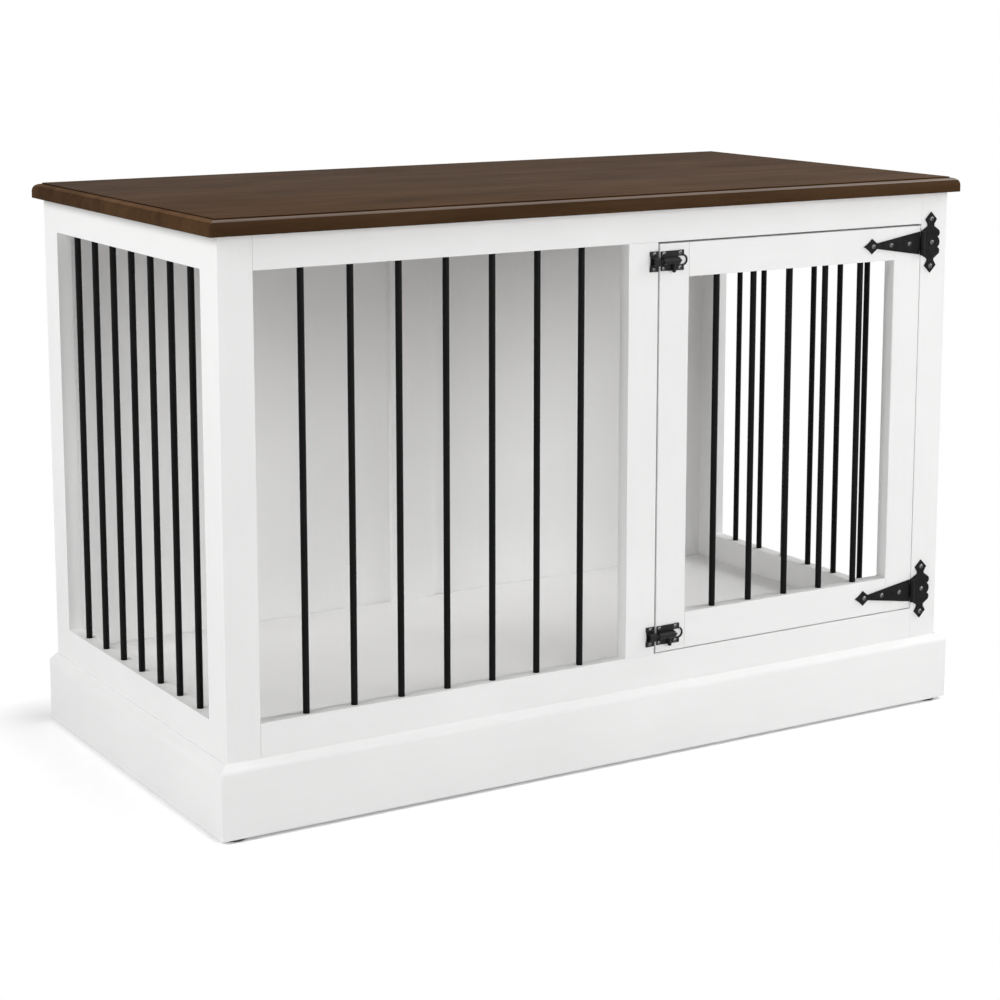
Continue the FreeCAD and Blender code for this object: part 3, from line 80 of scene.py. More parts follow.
# White boards, by the axis that their grain runs along
WHITE_BOARDS = {
    "X": ("front_top_rail", "front_bottom_rail", "door_top_rail", "door_bottom_rail", "back_top_rail"),
    "Y": ("left_top_rail", "left_bottom_rail", "right_top_rail", "right_bottom_rail"),
    "Z": ("front_left_stile", "front_centre_stile", "front_right_stile", "left_front_stile",
          "left_rear_stile", "right_front_stile", "right_rear_stile", "door_left_stile",
          "door_right_stile"),
}
WHITE_PANELS = {
    "X": ("floor_panel",),
    "Z": ("back_panel_left", "back_panel_right", "back_batten"),
}
BARE_TIMBER = {
    "X": ("back_bottom_rail", "front_floor_cleats", "frame_dowels", "door_dowels"),
    "Y": ("left_floor_cleat", "right_floor_cleat", "floor_bearer"),
}
BARS = ("front_bars", "left_bars", "right_bars", "door_bars")
HINGE_LEAVES = ("upper_hinge_strap", "lower_hinge_strap", "upper_hinge_plate", "lower_hinge_plate",
                "hinge_pins")
BOLT_IRON = ("upper_bolt_plate", "lower_bolt_plate", "upper_keeper", "lower_keeper")
PLAIN_STEEL = ("top_brackets", "top_bracket_screws", "cleat_screws")
AXIS_INDEX = {"X": 0, "Y": 1, "Z": 2}

# Depths of the fine marks in the finishes
PORE_DEPTH = 0.04 * MM
STREAK_DEPTH = 0.03 * MM
PEEL_DEPTH = 0.03 * MM
PEEN_DEPTH = 0.12 * MM
GRIT_DEPTH = 0.03 * MM
TURNING_DEPTH = 0.02 * MM
FIBRE_DEPTH = 0.05 * MM
PLASTIC_DEPTH = 0.04 * MM

# Sockets of a colour mixing node, which share their names with others
FIRST_COLOUR = 6
SECOND_COLOUR = 7
MIXED_COLOUR = 2

# What counts as a smooth edge, as one flat face and as one point
SMOOTH_ANGLE = math.radians(32)
FACE_SPREAD = 0.005 * MM
SAME_POINT = 0.001 * MM

# Points along the curves of the made pieces, and round the turned ones
FOOT_STEPS = 4
EASE_STEPS = 5
CORNER_STEPS = 6
NOSE_STEPS = 8
ROUND_STEPS = 14
ROD_SPOKES = 32
KNOB_SPOKES = 28

# A bolt's thin tail and the easing of its tip
TAIL_LENGTH = 5 * MM
TAIL_RADIUS = 1.2 * MM
TIP_EASE = 0.8 * MM

# A knob's neck, as shares of the stem's radius and of the way to the ball
NECK_WIDTH = 0.8
COLLAR_END = 0.62
NECK_START = 0.72

# The flat left at the foot of a knob's ball, as an angle in radians
BALL_FLAT = 0.08

# The cross in a screw head and the head's first ring, as shares of its radius
CROSS_WIDTH = 0.16
CROSS_LENGTH = 0.62
CROSS_SOFTNESS = 0.07
FIRST_RING = 0.02

# The studio: half the floor's width in metres, the camera's sensor in millimetres and plain white
FLOOR_REACH = 12.0
SENSOR_WIDTH = 36
WHITE = (1, 1, 1)


def colour_setting(name, description, default):
    """A colour."""
    return FloatVectorProperty(name=name, description=description, default=default, subtype="COLOR",
                               min=0, max=1)


def share_setting(name, description, default):
    """A share, from none to all."""
    return FloatProperty(name=name, description=description, default=default, subtype="FACTOR",
                         min=0, max=1)


def amount_setting(name, description, default):
    """A plain number with no upper limit."""
    return FloatProperty(name=name, description=description, default=default, min=0)


def length_setting(name, description, default):
    """A length, shown finely enough for parts of a millimetre."""
    return FloatProperty(name=name, description=description, default=default, unit="LENGTH",
                         precision=6)


def place_setting(name, description, default):
    """A place in the shared frame."""
    return FloatVectorProperty(name=name, description=description, default=default,
                               subtype="TRANSLATION")


def power_setting(name, description, default):
    """The power of a lamp."""
    return FloatProperty(name=name, description=description, default=default, unit="POWER", min=0)


def angle_setting(name, description, default):
    """An angle."""
    return FloatProperty(name=name, description=description, default=default, subtype="ANGLE")


class PaintSettings(PropertyGroup):
    """White satin paint of the boards."""
    colour: colour_setting("Paint", "Colour of the satin paint", (0.92, 0.92, 0.916))
    # Partly a whiter laminate and partly painted light: the floor and back panels are made whiter to lift
    # the shaded inside
    panel: colour_setting("Panels", "Colour of the floor and back panels", (0.97, 0.97, 0.966))
    thin_share: share_setting("Thin paint", "Share of the colour where the paint lies thinner", 0.962)
    roughness: share_setting("Roughness", "How dull the paint is", 0.52)
    gloss: share_setting("Gloss", "How much the paint reflects", 0.2)
    brush_depth: length_setting("Brush marks", "Depth of the brush marks", 0.03 * MM)


class StainSettings(PropertyGroup):
    """Dark stained top."""
    dark: colour_setting("Dark grain", "Colour of the dark grain", (0.048, 0.0238, 0.0107))
    light: colour_setting("Light grain", "Colour of the light grain", (0.098, 0.0527, 0.0257))
    roughness: share_setting("Roughness", "How dull the lacquer is", 0.5)
    gloss: share_setting("Gloss", "How much the field reflects", 0.004)
    front_roughness: share_setting("Front roughness", "How dull the polished front moulding is", 0.34)
    front_gloss: share_setting("Front gloss", "How much the polished front moulding reflects", 0.75)
    # Painted highlight: how much lighter the stain is made on the ovolo's upper half
    highlight_depth: amount_setting("Rubbed depth", "Share of the stain's light on a rubbed edge", 1.75)
    # Painted light and shade: the ends' edges are darkened less than the front's and back's, as lit from
    # the sides
    lit_end_depth: share_setting("End depth", "Share of the stain's light on the edges of the ends", 0.88)
    # Painted shade: how much darker the stain is made on the edge's upright face and the ovolo's lower
    # half
    edge_shade_depth: share_setting("Edge depth", "Share of the stain's light that the edge keeps", 0.72)
    # Painted shade: how dark the stain is made under the edge and in the cove, where shade falls
    painted_shade_depth: share_setting("Recess depth", "Share of the stain's light in a recess", 0.25)
    # Painted light: the top's grain is made lighter towards the front, where more light falls
    painted_front_light: amount_setting("Front wear", "How much lighter the grain gets towards the front", 0.24)
    edge_ease: length_setting("Eased edge", "Radius of the sharp edges", 0.6 * MM)
    ovolo: length_setting("Ovolo", "Radius of the rounded moulding", 10 * MM)
    step: length_setting("Step", "Height of the raised field", 1.5 * MM)
    step_inset: length_setting("Step inset", "How far the raised field lies in from the edge", 11 * MM)
    step_ease: length_setting("Step ease", "Radius of the step's edges", 0.4 * MM)
    corner: length_setting("Corner", "Radius of the upright corners", 3 * MM)


class SkirtingSettings(PropertyGroup):
    """Moulded skirting boards."""
    lip: length_setting("Lip", "Flat on top of the skirting", 2 * MM)
    bevel: length_setting("Bevel", "Height of the sloping edge", 7 * MM)
    nose: length_setting("Nose", "Radius under the sloping edge", 6 * MM)
    ease: length_setting("Eased edge", "Radius of the sharp edges", 0.5 * MM)
    seam: length_setting("Seam", "Radius of the edge along the frame", 0.9 * MM)
    corner: length_setting("Corner", "Radius of the upright corners", 2 * MM)


class IronSettings(PropertyGroup):
    """Black bars, hinges and bolts."""
    bar: colour_setting("Bars", "Colour of the bars", (0.002, 0.002, 0.002))
    iron: colour_setting("Ironwork", "Colour of the hinges and bolts", (0.006, 0.006, 0.006))
    screw: colour_setting("Screws", "Colour of the blackened screws", (0.2, 0.2, 0.203))
    bar_roughness: share_setting("Bar roughness", "How dull the bars are", 0.38)
    iron_roughness: share_setting("Ironwork roughness", "How dull the ironwork is", 0.42)
    screw_roughness: share_setting("Screw roughness", "How dull the black screws are", 0.22)
    bar_gloss: share_setting("Bar gloss", "How much the bars reflect", 0.1)
    hinge_gloss: share_setting("Hinge gloss", "How much the hinges reflect", 0.1)
    bolt_gloss: share_setting("Bolt gloss", "How much the slide bolts reflect", 0.2)
    peen_size: length_setting("Peen marks", "Size of the hammered marks", 3.2 * MM)
    knob_ball: length_setting("Knob", "Radius of the ball on a bolt's knob", 2.7 * MM)
    knob_stem: length_setting("Stem", "Radius of the stem of a bolt's knob", 1.9 * MM)


class ScrewSettings(PropertyGroup):
    """Domed screw heads with a cross recess."""
    dome_radius: length_setting("Dome", "Radius of a hinge screw's head", 3.2 * MM)
    dome_rise: length_setting("Dome height", "Height of a hinge screw's head", 1.8 * MM)
    bolt_radius: length_setting("Bolt screw", "Radius of a bolt plate's screw head", 2.6 * MM)
    bolt_rise: length_setting("Bolt screw height", "Height of a bolt plate's screw head", 0.9 * MM)
    panel_radius: length_setting("Panel screw", "Radius of a back panel's screw head", 3.5 * MM)
    panel_rise: length_setting("Panel screw height", "Height of a back panel's screw head", 2.2 * MM)
    recess_share: share_setting("Recess depth", "Depth of the cross, as a share of the radius", 0.34)
    rings: IntProperty(name="Rings", description="Rings of faces on a head", default=14, min=4, max=40)
    spokes: IntProperty(name="Spokes", description="Faces around a head", default=48, min=12, max=96)


class TimberSettings(PropertyGroup):
    """Bare timber, plain steel and plastic that the finished faces hide."""
    early: colour_setting("Early wood", "Colour of the pale growth rings", (0.6, 0.43, 0.26))
    late: colour_setting("Late wood", "Colour of the dark growth rings", (0.42, 0.26, 0.13))
    steel: colour_setting("Steel", "Colour of the zinc plating", (0.56, 0.56, 0.55))
    glide: colour_setting("Glides", "Colour of the plastic glides", (0.022, 0.02, 0.019))


class StageSettings(PropertyGroup):
    """Studio floor, light and camera."""
    floor: colour_setting("Floor", "Colour of the floor", (0.86, 0.86, 0.86))
    floor_lift: amount_setting("Floor lift", "How far the floor by the crate is lifted to white", 1.45)
    near_reach: length_setting("Near reach", "How far out the floor starts to turn plain white", 0.01)
    far_reach: length_setting("Far reach", "How far out the floor is plain white", 0.09)
    ambient: amount_setting("Ambient", "Strength of the light from all round", 0.2)
    front_power: power_setting("Front light", "Power of the lamp before the door", 43)
    front_place: place_setting("Front light place", "Where the front lamp hangs", (0.6, -3.35, 1.43))
    left_power: power_setting("Left light", "Power of the lamp at the left", 71.5)
    left_place: place_setting("Left light place", "Where the left lamp hangs", (-3.1, -0.25, 2.2))
    right_power: power_setting("Right light", "Power of the lamp at the right", 62)
    right_place: place_setting("Right light place", "Where the right lamp hangs", (2.83, -0.72, 2.05))
    lamp_size: length_setting("Lamp size", "Width of each square lamp", 2)
    camera_place: place_setting("Camera", "Where the camera stands", (-1.589532, -2.620207, 0.971425))
    camera_yaw: angle_setting("Camera heading", "Heading from the depth axis", 0.5442)
    camera_pitch: angle_setting("Camera tilt", "Tilt below the horizon", 0.1695)
    camera_lens: amount_setting("Lens", "Focal length in millimetres", 85.344)
    camera_rise: FloatProperty(name="Lens rise", default=-0.12,
                               description="Upright shift of the lens, in frame widths")


SETTINGS = {
    "crate_paint": PaintSettings,
    "crate_stain": StainSettings,
    "crate_skirting": SkirtingSettings,
    "crate_iron": IronSettings,
    "crate_screws": ScrewSettings,
    "crate_timber": TimberSettings,
    "crate_stage": StageSettings,
}


def kept_material(name, make, *settings):
    """The material of a name, made only the first time that it is asked for."""
    return bpy.data.materials.get(name) or make(name, *settings)


def new_material(name):
    """A material with an empty node tree, and that tree."""
    material = bpy.data.materials.new(name)
    material.use_nodes = True
    material.node_tree.nodes.clear()
    return material, material.node_tree


def new_node(tree, kind, inputs=None, **options):
    """A node with its options set, and its inputs given plain values or joined to outputs."""
    node = tree.nodes.new(kind)
    for name, value in options.items():
        setattr(node, name, value)
    for name, value in (inputs or {}).items():
        if isinstance(value, NodeSocket):
            tree.links.new(value, node.inputs[name])
        else:
            node.inputs[name].default_value = value
    return node


def finished(material, inputs):
    """The material, with a principled shader of given inputs joined to its output."""
    tree = material.node_tree
    shader = new_node(tree, "ShaderNodeBsdfPrincipled", inputs)
    new_node(tree, "ShaderNodeOutputMaterial", {"Surface": shader.outputs["BSDF"]})
    return material


def scaled(colour, share):
    """A colour made darker or lighter by a share."""
    return [channel * share for channel in colour]


def rgba(colour):
    """A plain colour with full cover, or an output that carries one as it is."""
    return colour if isinstance(colour, NodeSocket) else (*colour, 1.0)


def even(waves):
    """Waves per metre that are the same along all three axes."""
    return (waves, waves, waves)


def along(axis, run, across):
    """Waves per metre along one axis and across it, so that a pattern runs along a board."""
    waves = [across, across, across]
    waves[AXIS_INDEX[axis]] = run
    return tuple(waves)


def object_vector(tree, waves):
    """Object coordinates stretched by the waves per metre along each axis."""
    place = new_node(tree, "ShaderNodeTexCoord").outputs["Object"]
    return new_node(tree, "ShaderNodeMapping", {"Vector": place, "Scale": waves}).outputs["Vector"]


def noise(tree, waves, detail, roughness=0.5, distortion=0.0):
    """Smooth noise with given waves per metre, from about 0.3 to 0.7."""
    texture = new_node(tree, "ShaderNodeTexNoise", {
        "Vector": object_vector(tree, waves), "Scale": 1.0, "Detail": detail, "Roughness": roughness,
        "Distortion": distortion})
    return texture.outputs["Fac"]


def ramp(tree, value, low=0.0, high=1.0, start=0.35, end=0.65):
    """A value spread between two numbers, by default over the middle of the noise's range."""
    spread = new_node(tree, "ShaderNodeMapRange", {
        "Value": value, "From Min": start, "From Max": end, "To Min": low, "To Max": high})
    return spread.outputs["Result"]


def uneven(tree, pattern, middle, below, above):
    """A number that wanders below and above a middle one with a pattern."""
    return ramp(tree, pattern, middle - below, middle + above)


def blend(tree, share, first, second, kind="MIX"):
    """Two colours mixed by a share."""
    mix = new_node(tree, "ShaderNodeMix", {
        "Factor": share, FIRST_COLOUR: rgba(first), SECOND_COLOUR: rgba(second)},
        data_type="RGBA", blend_type=kind)
    return mix.outputs[MIXED_COLOUR]


def mottled(tree, pattern, colour, share):
    """A colour that turns into a darker or lighter share of itself with a pattern."""
    return blend(tree, ramp(tree, pattern), colour, scaled(colour, share))


def combine(tree, kind, first, second):
    """One sum, product or other function of two values."""
    return new_node(tree, "ShaderNodeMath", {0: first, 1: second}, operation=kind).outputs["Value"]


def weighted(tree, *parts):
    """The sum of values, each times its weight."""
    total = 0.0
    for value, weight in parts:
        total = combine(tree, "ADD", total, combine(tree, "MULTIPLY", value, weight))
    return total


def relief(tree, height, depth, strength=1.0, under=None):
    """A bump of a given depth in metres, over another bump if one is given."""
    inputs = {"Height": height, "Distance": depth, "Strength": strength}
    if under is not None:
        inputs["Normal"] = under
    return new_node(tree, "ShaderNodeBump", inputs).outputs["Normal"]


def painted(axis, paint):
    """The white satin paint whose brush marks run along one axis."""
    return kept_material(f"white_satin_{axis.lower()}", white_paint, axis, paint, paint.colour)


def white_paint(name, axis, paint, white):
    """Satin paint brushed along a board: soft tone, brush marks, fine stipple and uneven sheen."""
    material, tree = new_material(name)
    tone = noise(tree, even(7), detail=2)
    brush = noise(tree, along(axis, run=6, across=420), detail=4, roughness=0.6)
    grain = noise(tree, along(axis, run=9, across=130), detail=3, distortion=0.4)
    stipple = noise(tree, even(1400), detail=2)
    cover = ramp(tree, weighted(tree, (tone, 1.0), (grain, 0.35)), start=0.45, end=0.95)
    marks = relief(tree, brush, paint.brush_depth)
    marks = relief(tree, grain, paint.brush_depth, strength=0.7, under=marks)
    marks = relief(tree, stipple, paint.brush_depth / 3, strength=0.5, under=marks)
    return finished(material, {
        "Base Color": blend(tree, cover, scaled(white, paint.thin_share), white),
        "Roughness": uneven(tree, brush, paint.roughness, below=0.06, above=0.08),
        "Normal": marks,
        "Specular IOR Level": paint.gloss,
    })


def dark_stain(name, stain, roughness, gloss, depth):
    """Dark stain with lengthwise streaks, soft mottling and pores under a lacquer of a given gloss.

    The depth is the share of the stain's light that is left: below 1 for painted shade on and under the
    edge and in the cove, and above 1 for a painted highlight on the ovolo. The grain is painted lighter
    towards the front, as light falling on the top's front.
    """
    dark = scaled(stain.dark, depth)
    light = scaled(stain.light, depth)
    material, tree = new_material(name)
    mottle = noise(tree, along("X", run=5, across=14), detail=3, roughness=0.55)
    streak = noise(tree, along("X", run=2.2, across=75), detail=5, roughness=0.62, distortion=0.7)
    fine = noise(tree, along("X", run=9, across=420), detail=4, roughness=0.65)
    pores = noise(tree, along("X", run=45, across=1300), detail=2)
    place = new_node(tree, "ShaderNodeSeparateXYZ", {"Vector": object_vector(tree, even(1))})
    # Painted light: the figure lightens towards the front (-Y), as light falling on the top's front
    figure = weighted(tree, (streak, 0.36), (mottle, 0.48), (fine, 0.16),
                      (place.outputs["Y"], -stain.painted_front_light))
    wood = blend(tree, ramp(tree, figure, start=0.36, end=0.64), dark, light)
    open_pore = ramp(tree, pores, low=0.4, high=0.0, start=0.3, end=0.44)
    pore_marks = relief(tree, pores, PORE_DEPTH, strength=0.6)
    return finished(material, {
        "Base Color": blend(tree, open_pore, wood, dark),
        "Roughness": uneven(tree, fine, roughness, below=0.05, above=0.1),
        "Normal": relief(tree, fine, STREAK_DEPTH, strength=0.6, under=pore_marks),
        "Specular IOR Level": gloss,
    })


def black_bar(iron):
    """Satin black bar with the fine orange peel of a sprayed coat."""
    material, tree = new_material("satin_black_bar")
    peel = noise(tree, even(900), detail=2)
    patch = noise(tree, along("Z", run=18, across=40), detail=3)
    return finished(material, {
        "Base Color": mottled(tree, patch, iron.bar, share=1.8),
        "Roughness": uneven(tree, patch, iron.bar_roughness, below=0.05, above=0.08),
        "Normal": relief(tree, peel, PEEL_DEPTH, strength=0.6),
        "Specular IOR Level": iron.bar_gloss,
    })


def black_iron(name, iron, gloss):
    """Black iron of a given gloss with shallow hammered marks and a slightly worn, uneven sheen."""
    material, tree = new_material(name)
    peen = new_node(tree, "ShaderNodeTexVoronoi", {
        "Vector": object_vector(tree, even(1 / iron.peen_size)), "Scale": 1.0}, feature="SMOOTH_F1")
    grit = noise(tree, even(1800), detail=2)
    patch = noise(tree, even(160), detail=3)
    dents = relief(tree, peen.outputs["Distance"], PEEN_DEPTH, strength=0.5)
    return finished(material, {
        "Base Color": mottled(tree, patch, iron.iron, share=1.9),
        "Roughness": uneven(tree, patch, iron.iron_roughness, below=0.07, above=0.1),
        "Normal": relief(tree, grit, GRIT_DEPTH, strength=0.5, under=dents),
        "Specular IOR Level": gloss,
    })


def black_screw(name, iron):
    """Blackened screw steel, brighter than the plates, with fine turning marks and dull patches."""
    material, tree = new_material(name)
    wear = noise(tree, even(700), detail=3)
    marks = noise(tree, even(2600), detail=2)
    return finished(material, {
        "Base Color": mottled(tree, wear, iron.screw, share=0.6),
        "Roughness": uneven(tree, wear, iron.screw_roughness, below=0.05, above=0.08),
        "Normal": relief(tree, marks, TURNING_DEPTH, strength=0.5),
        "Metallic": 1.0,
    })


def bare_timber(axis, timber):
    """Planed softwood with growth rings that run along one axis, unpainted where the crate hides it."""
    material, tree = new_material(f"bare_timber_{axis.lower()}")
    rings = new_node(tree, "ShaderNodeTexWave", {
        "Vector": object_vector(tree, along(axis, run=1.5, across=55)), "Scale": 1.0, "Distortion": 3.0,
        "Detail": 3.0}, wave_type="BANDS", bands_direction="Z")
    fibre = noise(tree, along(axis, run=30, across=900), detail=3)
    ring = ramp(tree, rings.outputs["Fac"], start=0.1, end=0.95)
    wood = blend(tree, ring, timber.early, timber.late)
    return finished(material, {
        "Base Color": blend(tree, ramp(tree, fibre, high=0.3), wood, timber.late, "MULTIPLY"),
        "Roughness": ramp(tree, fibre, low=0.55, high=0.75),
        "Normal": relief(tree, fibre, FIBRE_DEPTH, strength=0.7),
    })


def zinc_steel(timber):
    """Zinc-plated steel with a faint spangle."""
    material, tree = new_material("zinc_steel")
    spangle = noise(tree, even(300), detail=4, roughness=0.7)
    return finished(material, {
        "Base Color": mottled(tree, spangle, timber.steel, share=0.8),
        "Roughness": ramp(tree, spangle, low=0.28, high=0.45),
        "Metallic": 1.0,
    })


def glide_plastic(timber):
    """Dark moulded plastic with a fine texture and scuffs."""
    material, tree = new_material("dark_glide")
    texture = noise(tree, even(1100), detail=2)
    scuff = noise(tree, even(240), detail=4)
    return finished(material, {
        "Base Color": mottled(tree, scuff, timber.glide, share=2.2),
        "Roughness": ramp(tree, scuff, low=0.45, high=0.65),
        "Normal": relief(tree, texture, PLASTIC_DEPTH, strength=0.6),
    })


def coat(names, material):
    """Give CAD nodes one material all over."""
    for name in names:
        slots = NODES[name].data.materials
        slots.clear()
        slots.append(material)


def tube(grid):
    """A shape from rows of points whose columns join round: points, quads and two end caps."""
    rows, columns = grid.shape[:2]
    row, column = np.meshgrid(np.arange(rows - 1), np.arange(columns), indexing="ij")
    following = (column + 1) % columns
    corners = (row * columns + column, row * columns + following,
               (row + 1) * columns + following, (row + 1) * columns + column)
    quads = np.stack([corner.ravel() for corner in corners], axis=1)
    caps = [np.arange(columns)[::-1], np.arange(columns) + (rows - 1) * columns]
    return grid.reshape(-1, 3), quads, caps


def flipped(shape):
    """A shape with its faces turned to the other side."""
    points, quads, caps = shape
    return points, quads[:, ::-1], [cap[::-1] for cap in caps]


def turned(shape, outward):
    """A shape drawn about +Z, turned so that +Z points along another axis."""
    axes = {
        "-y": np.array([[1, 0, 0], [0, 0, 1], [0, -1, 0]]),
        "+y": np.array([[1, 0, 0], [0, 0, -1], [0, 1, 0]]),
        "+x": np.array([[0, 0, -1], [0, 1, 0], [1, 0, 0]]),
        "-z": np.array([[1, 0, 0], [0, -1, 0], [0, 0, -1]]),
    }
    points, quads, caps = shape
    return points @ axes[outward], quads, caps


def placed(shape, places):
    """Copies of one shape at one or more places, as one shape."""
    points, quads, caps = shape
    starts = [len(points) * index for index in range(len(places))]
    every_point = (points[None] + np.asarray(places)[:, None]).reshape(-1, 3)
    every_quad = np.concatenate([quads + start for start in starts])
    every_cap = [cap + start for start in starts for cap in caps]
    return every_point, every_quad, every_cap


def make_piece(name, shape, material, body, replaced):
    """Put a shape into a mesh that stands for a CAD node and rides on its body.

    Points that fall together are joined, which closes the mesh and drops faces with no area.
    """
    points, quads, caps = shape
    mesh = bpy.data.meshes.new(name)
    mesh.from_pydata(points.tolist(), [], quads.tolist() + [cap.tolist() for cap in caps])
    work = bmesh.new()
    work.from_mesh(mesh)
    bmesh.ops.remove_doubles(work, verts=work.verts, dist=SAME_POINT)
    work.to_mesh(mesh)
    work.free()
    mesh.polygons.foreach_set("use_smooth", np.ones(len(mesh.polygons), dtype=bool))
    mesh.set_sharp_from_angle(angle=SMOOTH_ANGLE)
    mesh.materials.append(material)
    piece = bpy.data.objects.new(name, mesh)
    bpy.context.scene.collection.objects.link(piece)
    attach(piece, body)
    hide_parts(replaced)
    return piece


def arc(centre, radius, first, last, steps):
    """Points on an arc between two angles, as an array of pairs."""
    angle = np.linspace(first, last, steps)
    return np.stack([centre[0] + radius * np.cos(angle), centre[1] + radius * np.sin(angle)], axis=1)


def rounded_ring(half, inset, corner):
    """A rectangle of given half sizes, drawn in by an inset, with quarter arcs at its corners.

    The corners' radius shrinks with the inset, down to a tenth of what it was.
    """
    radius = max(corner - inset, corner / 10)
    quarter = np.linspace(0, np.pi / 2, CORNER_STEPS)
    turns = np.concatenate([quarter + turn * np.pi / 2 for turn in range(4)])
    signs = np.repeat(np.array([[1, 1], [-1, 1], [-1, -1], [1, -1]]), CORNER_STEPS, axis=0)
    centres = signs * (np.array(half) - inset - radius)
    return centres + radius * np.stack([np.cos(turns), np.sin(turns)], axis=1)


def lathe(profile, spokes):
    """A profile of (radius, height) pairs turned round +Z: x and y are radius times cosine and sine."""
    angle = np.linspace(0, 2 * np.pi, spokes, endpoint=False)
    radius, height = profile[:, :1], profile[:, 1:]
    level = np.repeat(height, spokes, axis=1)
    return tube(np.stack([radius * np.cos(angle), radius * np.sin(angle), level], axis=2))


def screw_head(radius, rise, screws):
    """A head over the plane z = 0, on a polar grid, with a cross sunk in it.

    Height is the cap of a sphere less the recess, where the recess is a smooth step inside either of
    two crossed bars that end before the rim. The last ring goes down into the hole.
    """
    share = np.linspace(FIRST_RING, 1, screws.rings)
    angle = np.linspace(0, 2 * np.pi, screws.spokes, endpoint=False)
    out, turn = np.meshgrid(share, angle, indexing="ij")
    across, up = out * np.cos(turn), out * np.sin(turn)
    level = np.minimum(CROSS_WIDTH - np.abs(up), CROSS_LENGTH - np.abs(across))
    upright = np.minimum(CROSS_WIDTH - np.abs(across), CROSS_LENGTH - np.abs(up))
    sunk = np.clip(np.maximum(upright, level) / CROSS_SOFTNESS + 0.5, 0, 1)
    ball = (radius ** 2 + rise ** 2) / (2 * rise)
    dome = np.sqrt(ball ** 2 - (out * radius) ** 2) - (ball - rise)
    height = dome - sunk * screws.recess_share * radius
    points = np.stack([across * radius, up * radius, height], axis=2)
    rim = points[-1:].copy()
    rim[..., 2] = -rise
    return flipped(tube(np.concatenate([points, rim])))


def head_middles(name, sign, reach_apart):
    """Where a node's screw heads are furthest out along Y: the middle of each head's points there.

    Points closer together than a given distance belong to one head, and the first of them names it.
    """
    mesh = NODES[name].data
    points = np.empty(len(mesh.vertices) * 3, dtype=np.float32)
    mesh.vertices.foreach_get("co", points)
    points = points.reshape(-1, 3)
    reach = points[:, 1] * sign
    tips = points[reach > reach.max() - FACE_SPREAD]
    near = np.linalg.norm(tips[:, None] - tips[None], axis=2) < reach_apart
    heads = np.argmax(near, axis=1)
    groups = [tips[heads == head] for head in np.unique(heads)]
    return np.array([(group.min(axis=0) + group.max(axis=0)) / 2 for group in groups])


def make_screws(node, outward, head, screws, material, body):
    """Cross-recess heads in place of a node's plain ones.

    A head is its radius, its rise and how far it lies back from the plain heads' tips. Tips within
    three radiuses of each other belong to one head.
    """
    radius, rise, sunk = head
    sign = 1 if outward == "+y" else -1
    places = head_middles(node, sign, 3 * radius)
    places[:, 1] -= sign * sunk
    shape = placed(turned(screw_head(radius, rise, screws), outward), places)
    make_piece(f"domed_{node}", shape, material, body, node)


class CRATE_OT_paint_boards(Operator):
    """Paint the frame, door, back and floor boards white."""
    bl_idname = "crate.paint_boards"
    bl_label = "Paint Boards"

    def execute(self, context):
        paint = context.scene.crate_paint
        for axis, names in WHITE_BOARDS.items():
            coat(names, painted(axis, paint))
        for axis, names in WHITE_PANELS.items():
            # The panels take the whiter colour: partly laminate, partly painted light for the shaded
            # inside
            coat(names, white_paint(f"white_panel_{axis.lower()}", axis, paint, paint.panel))
        return {"FINISHED"}


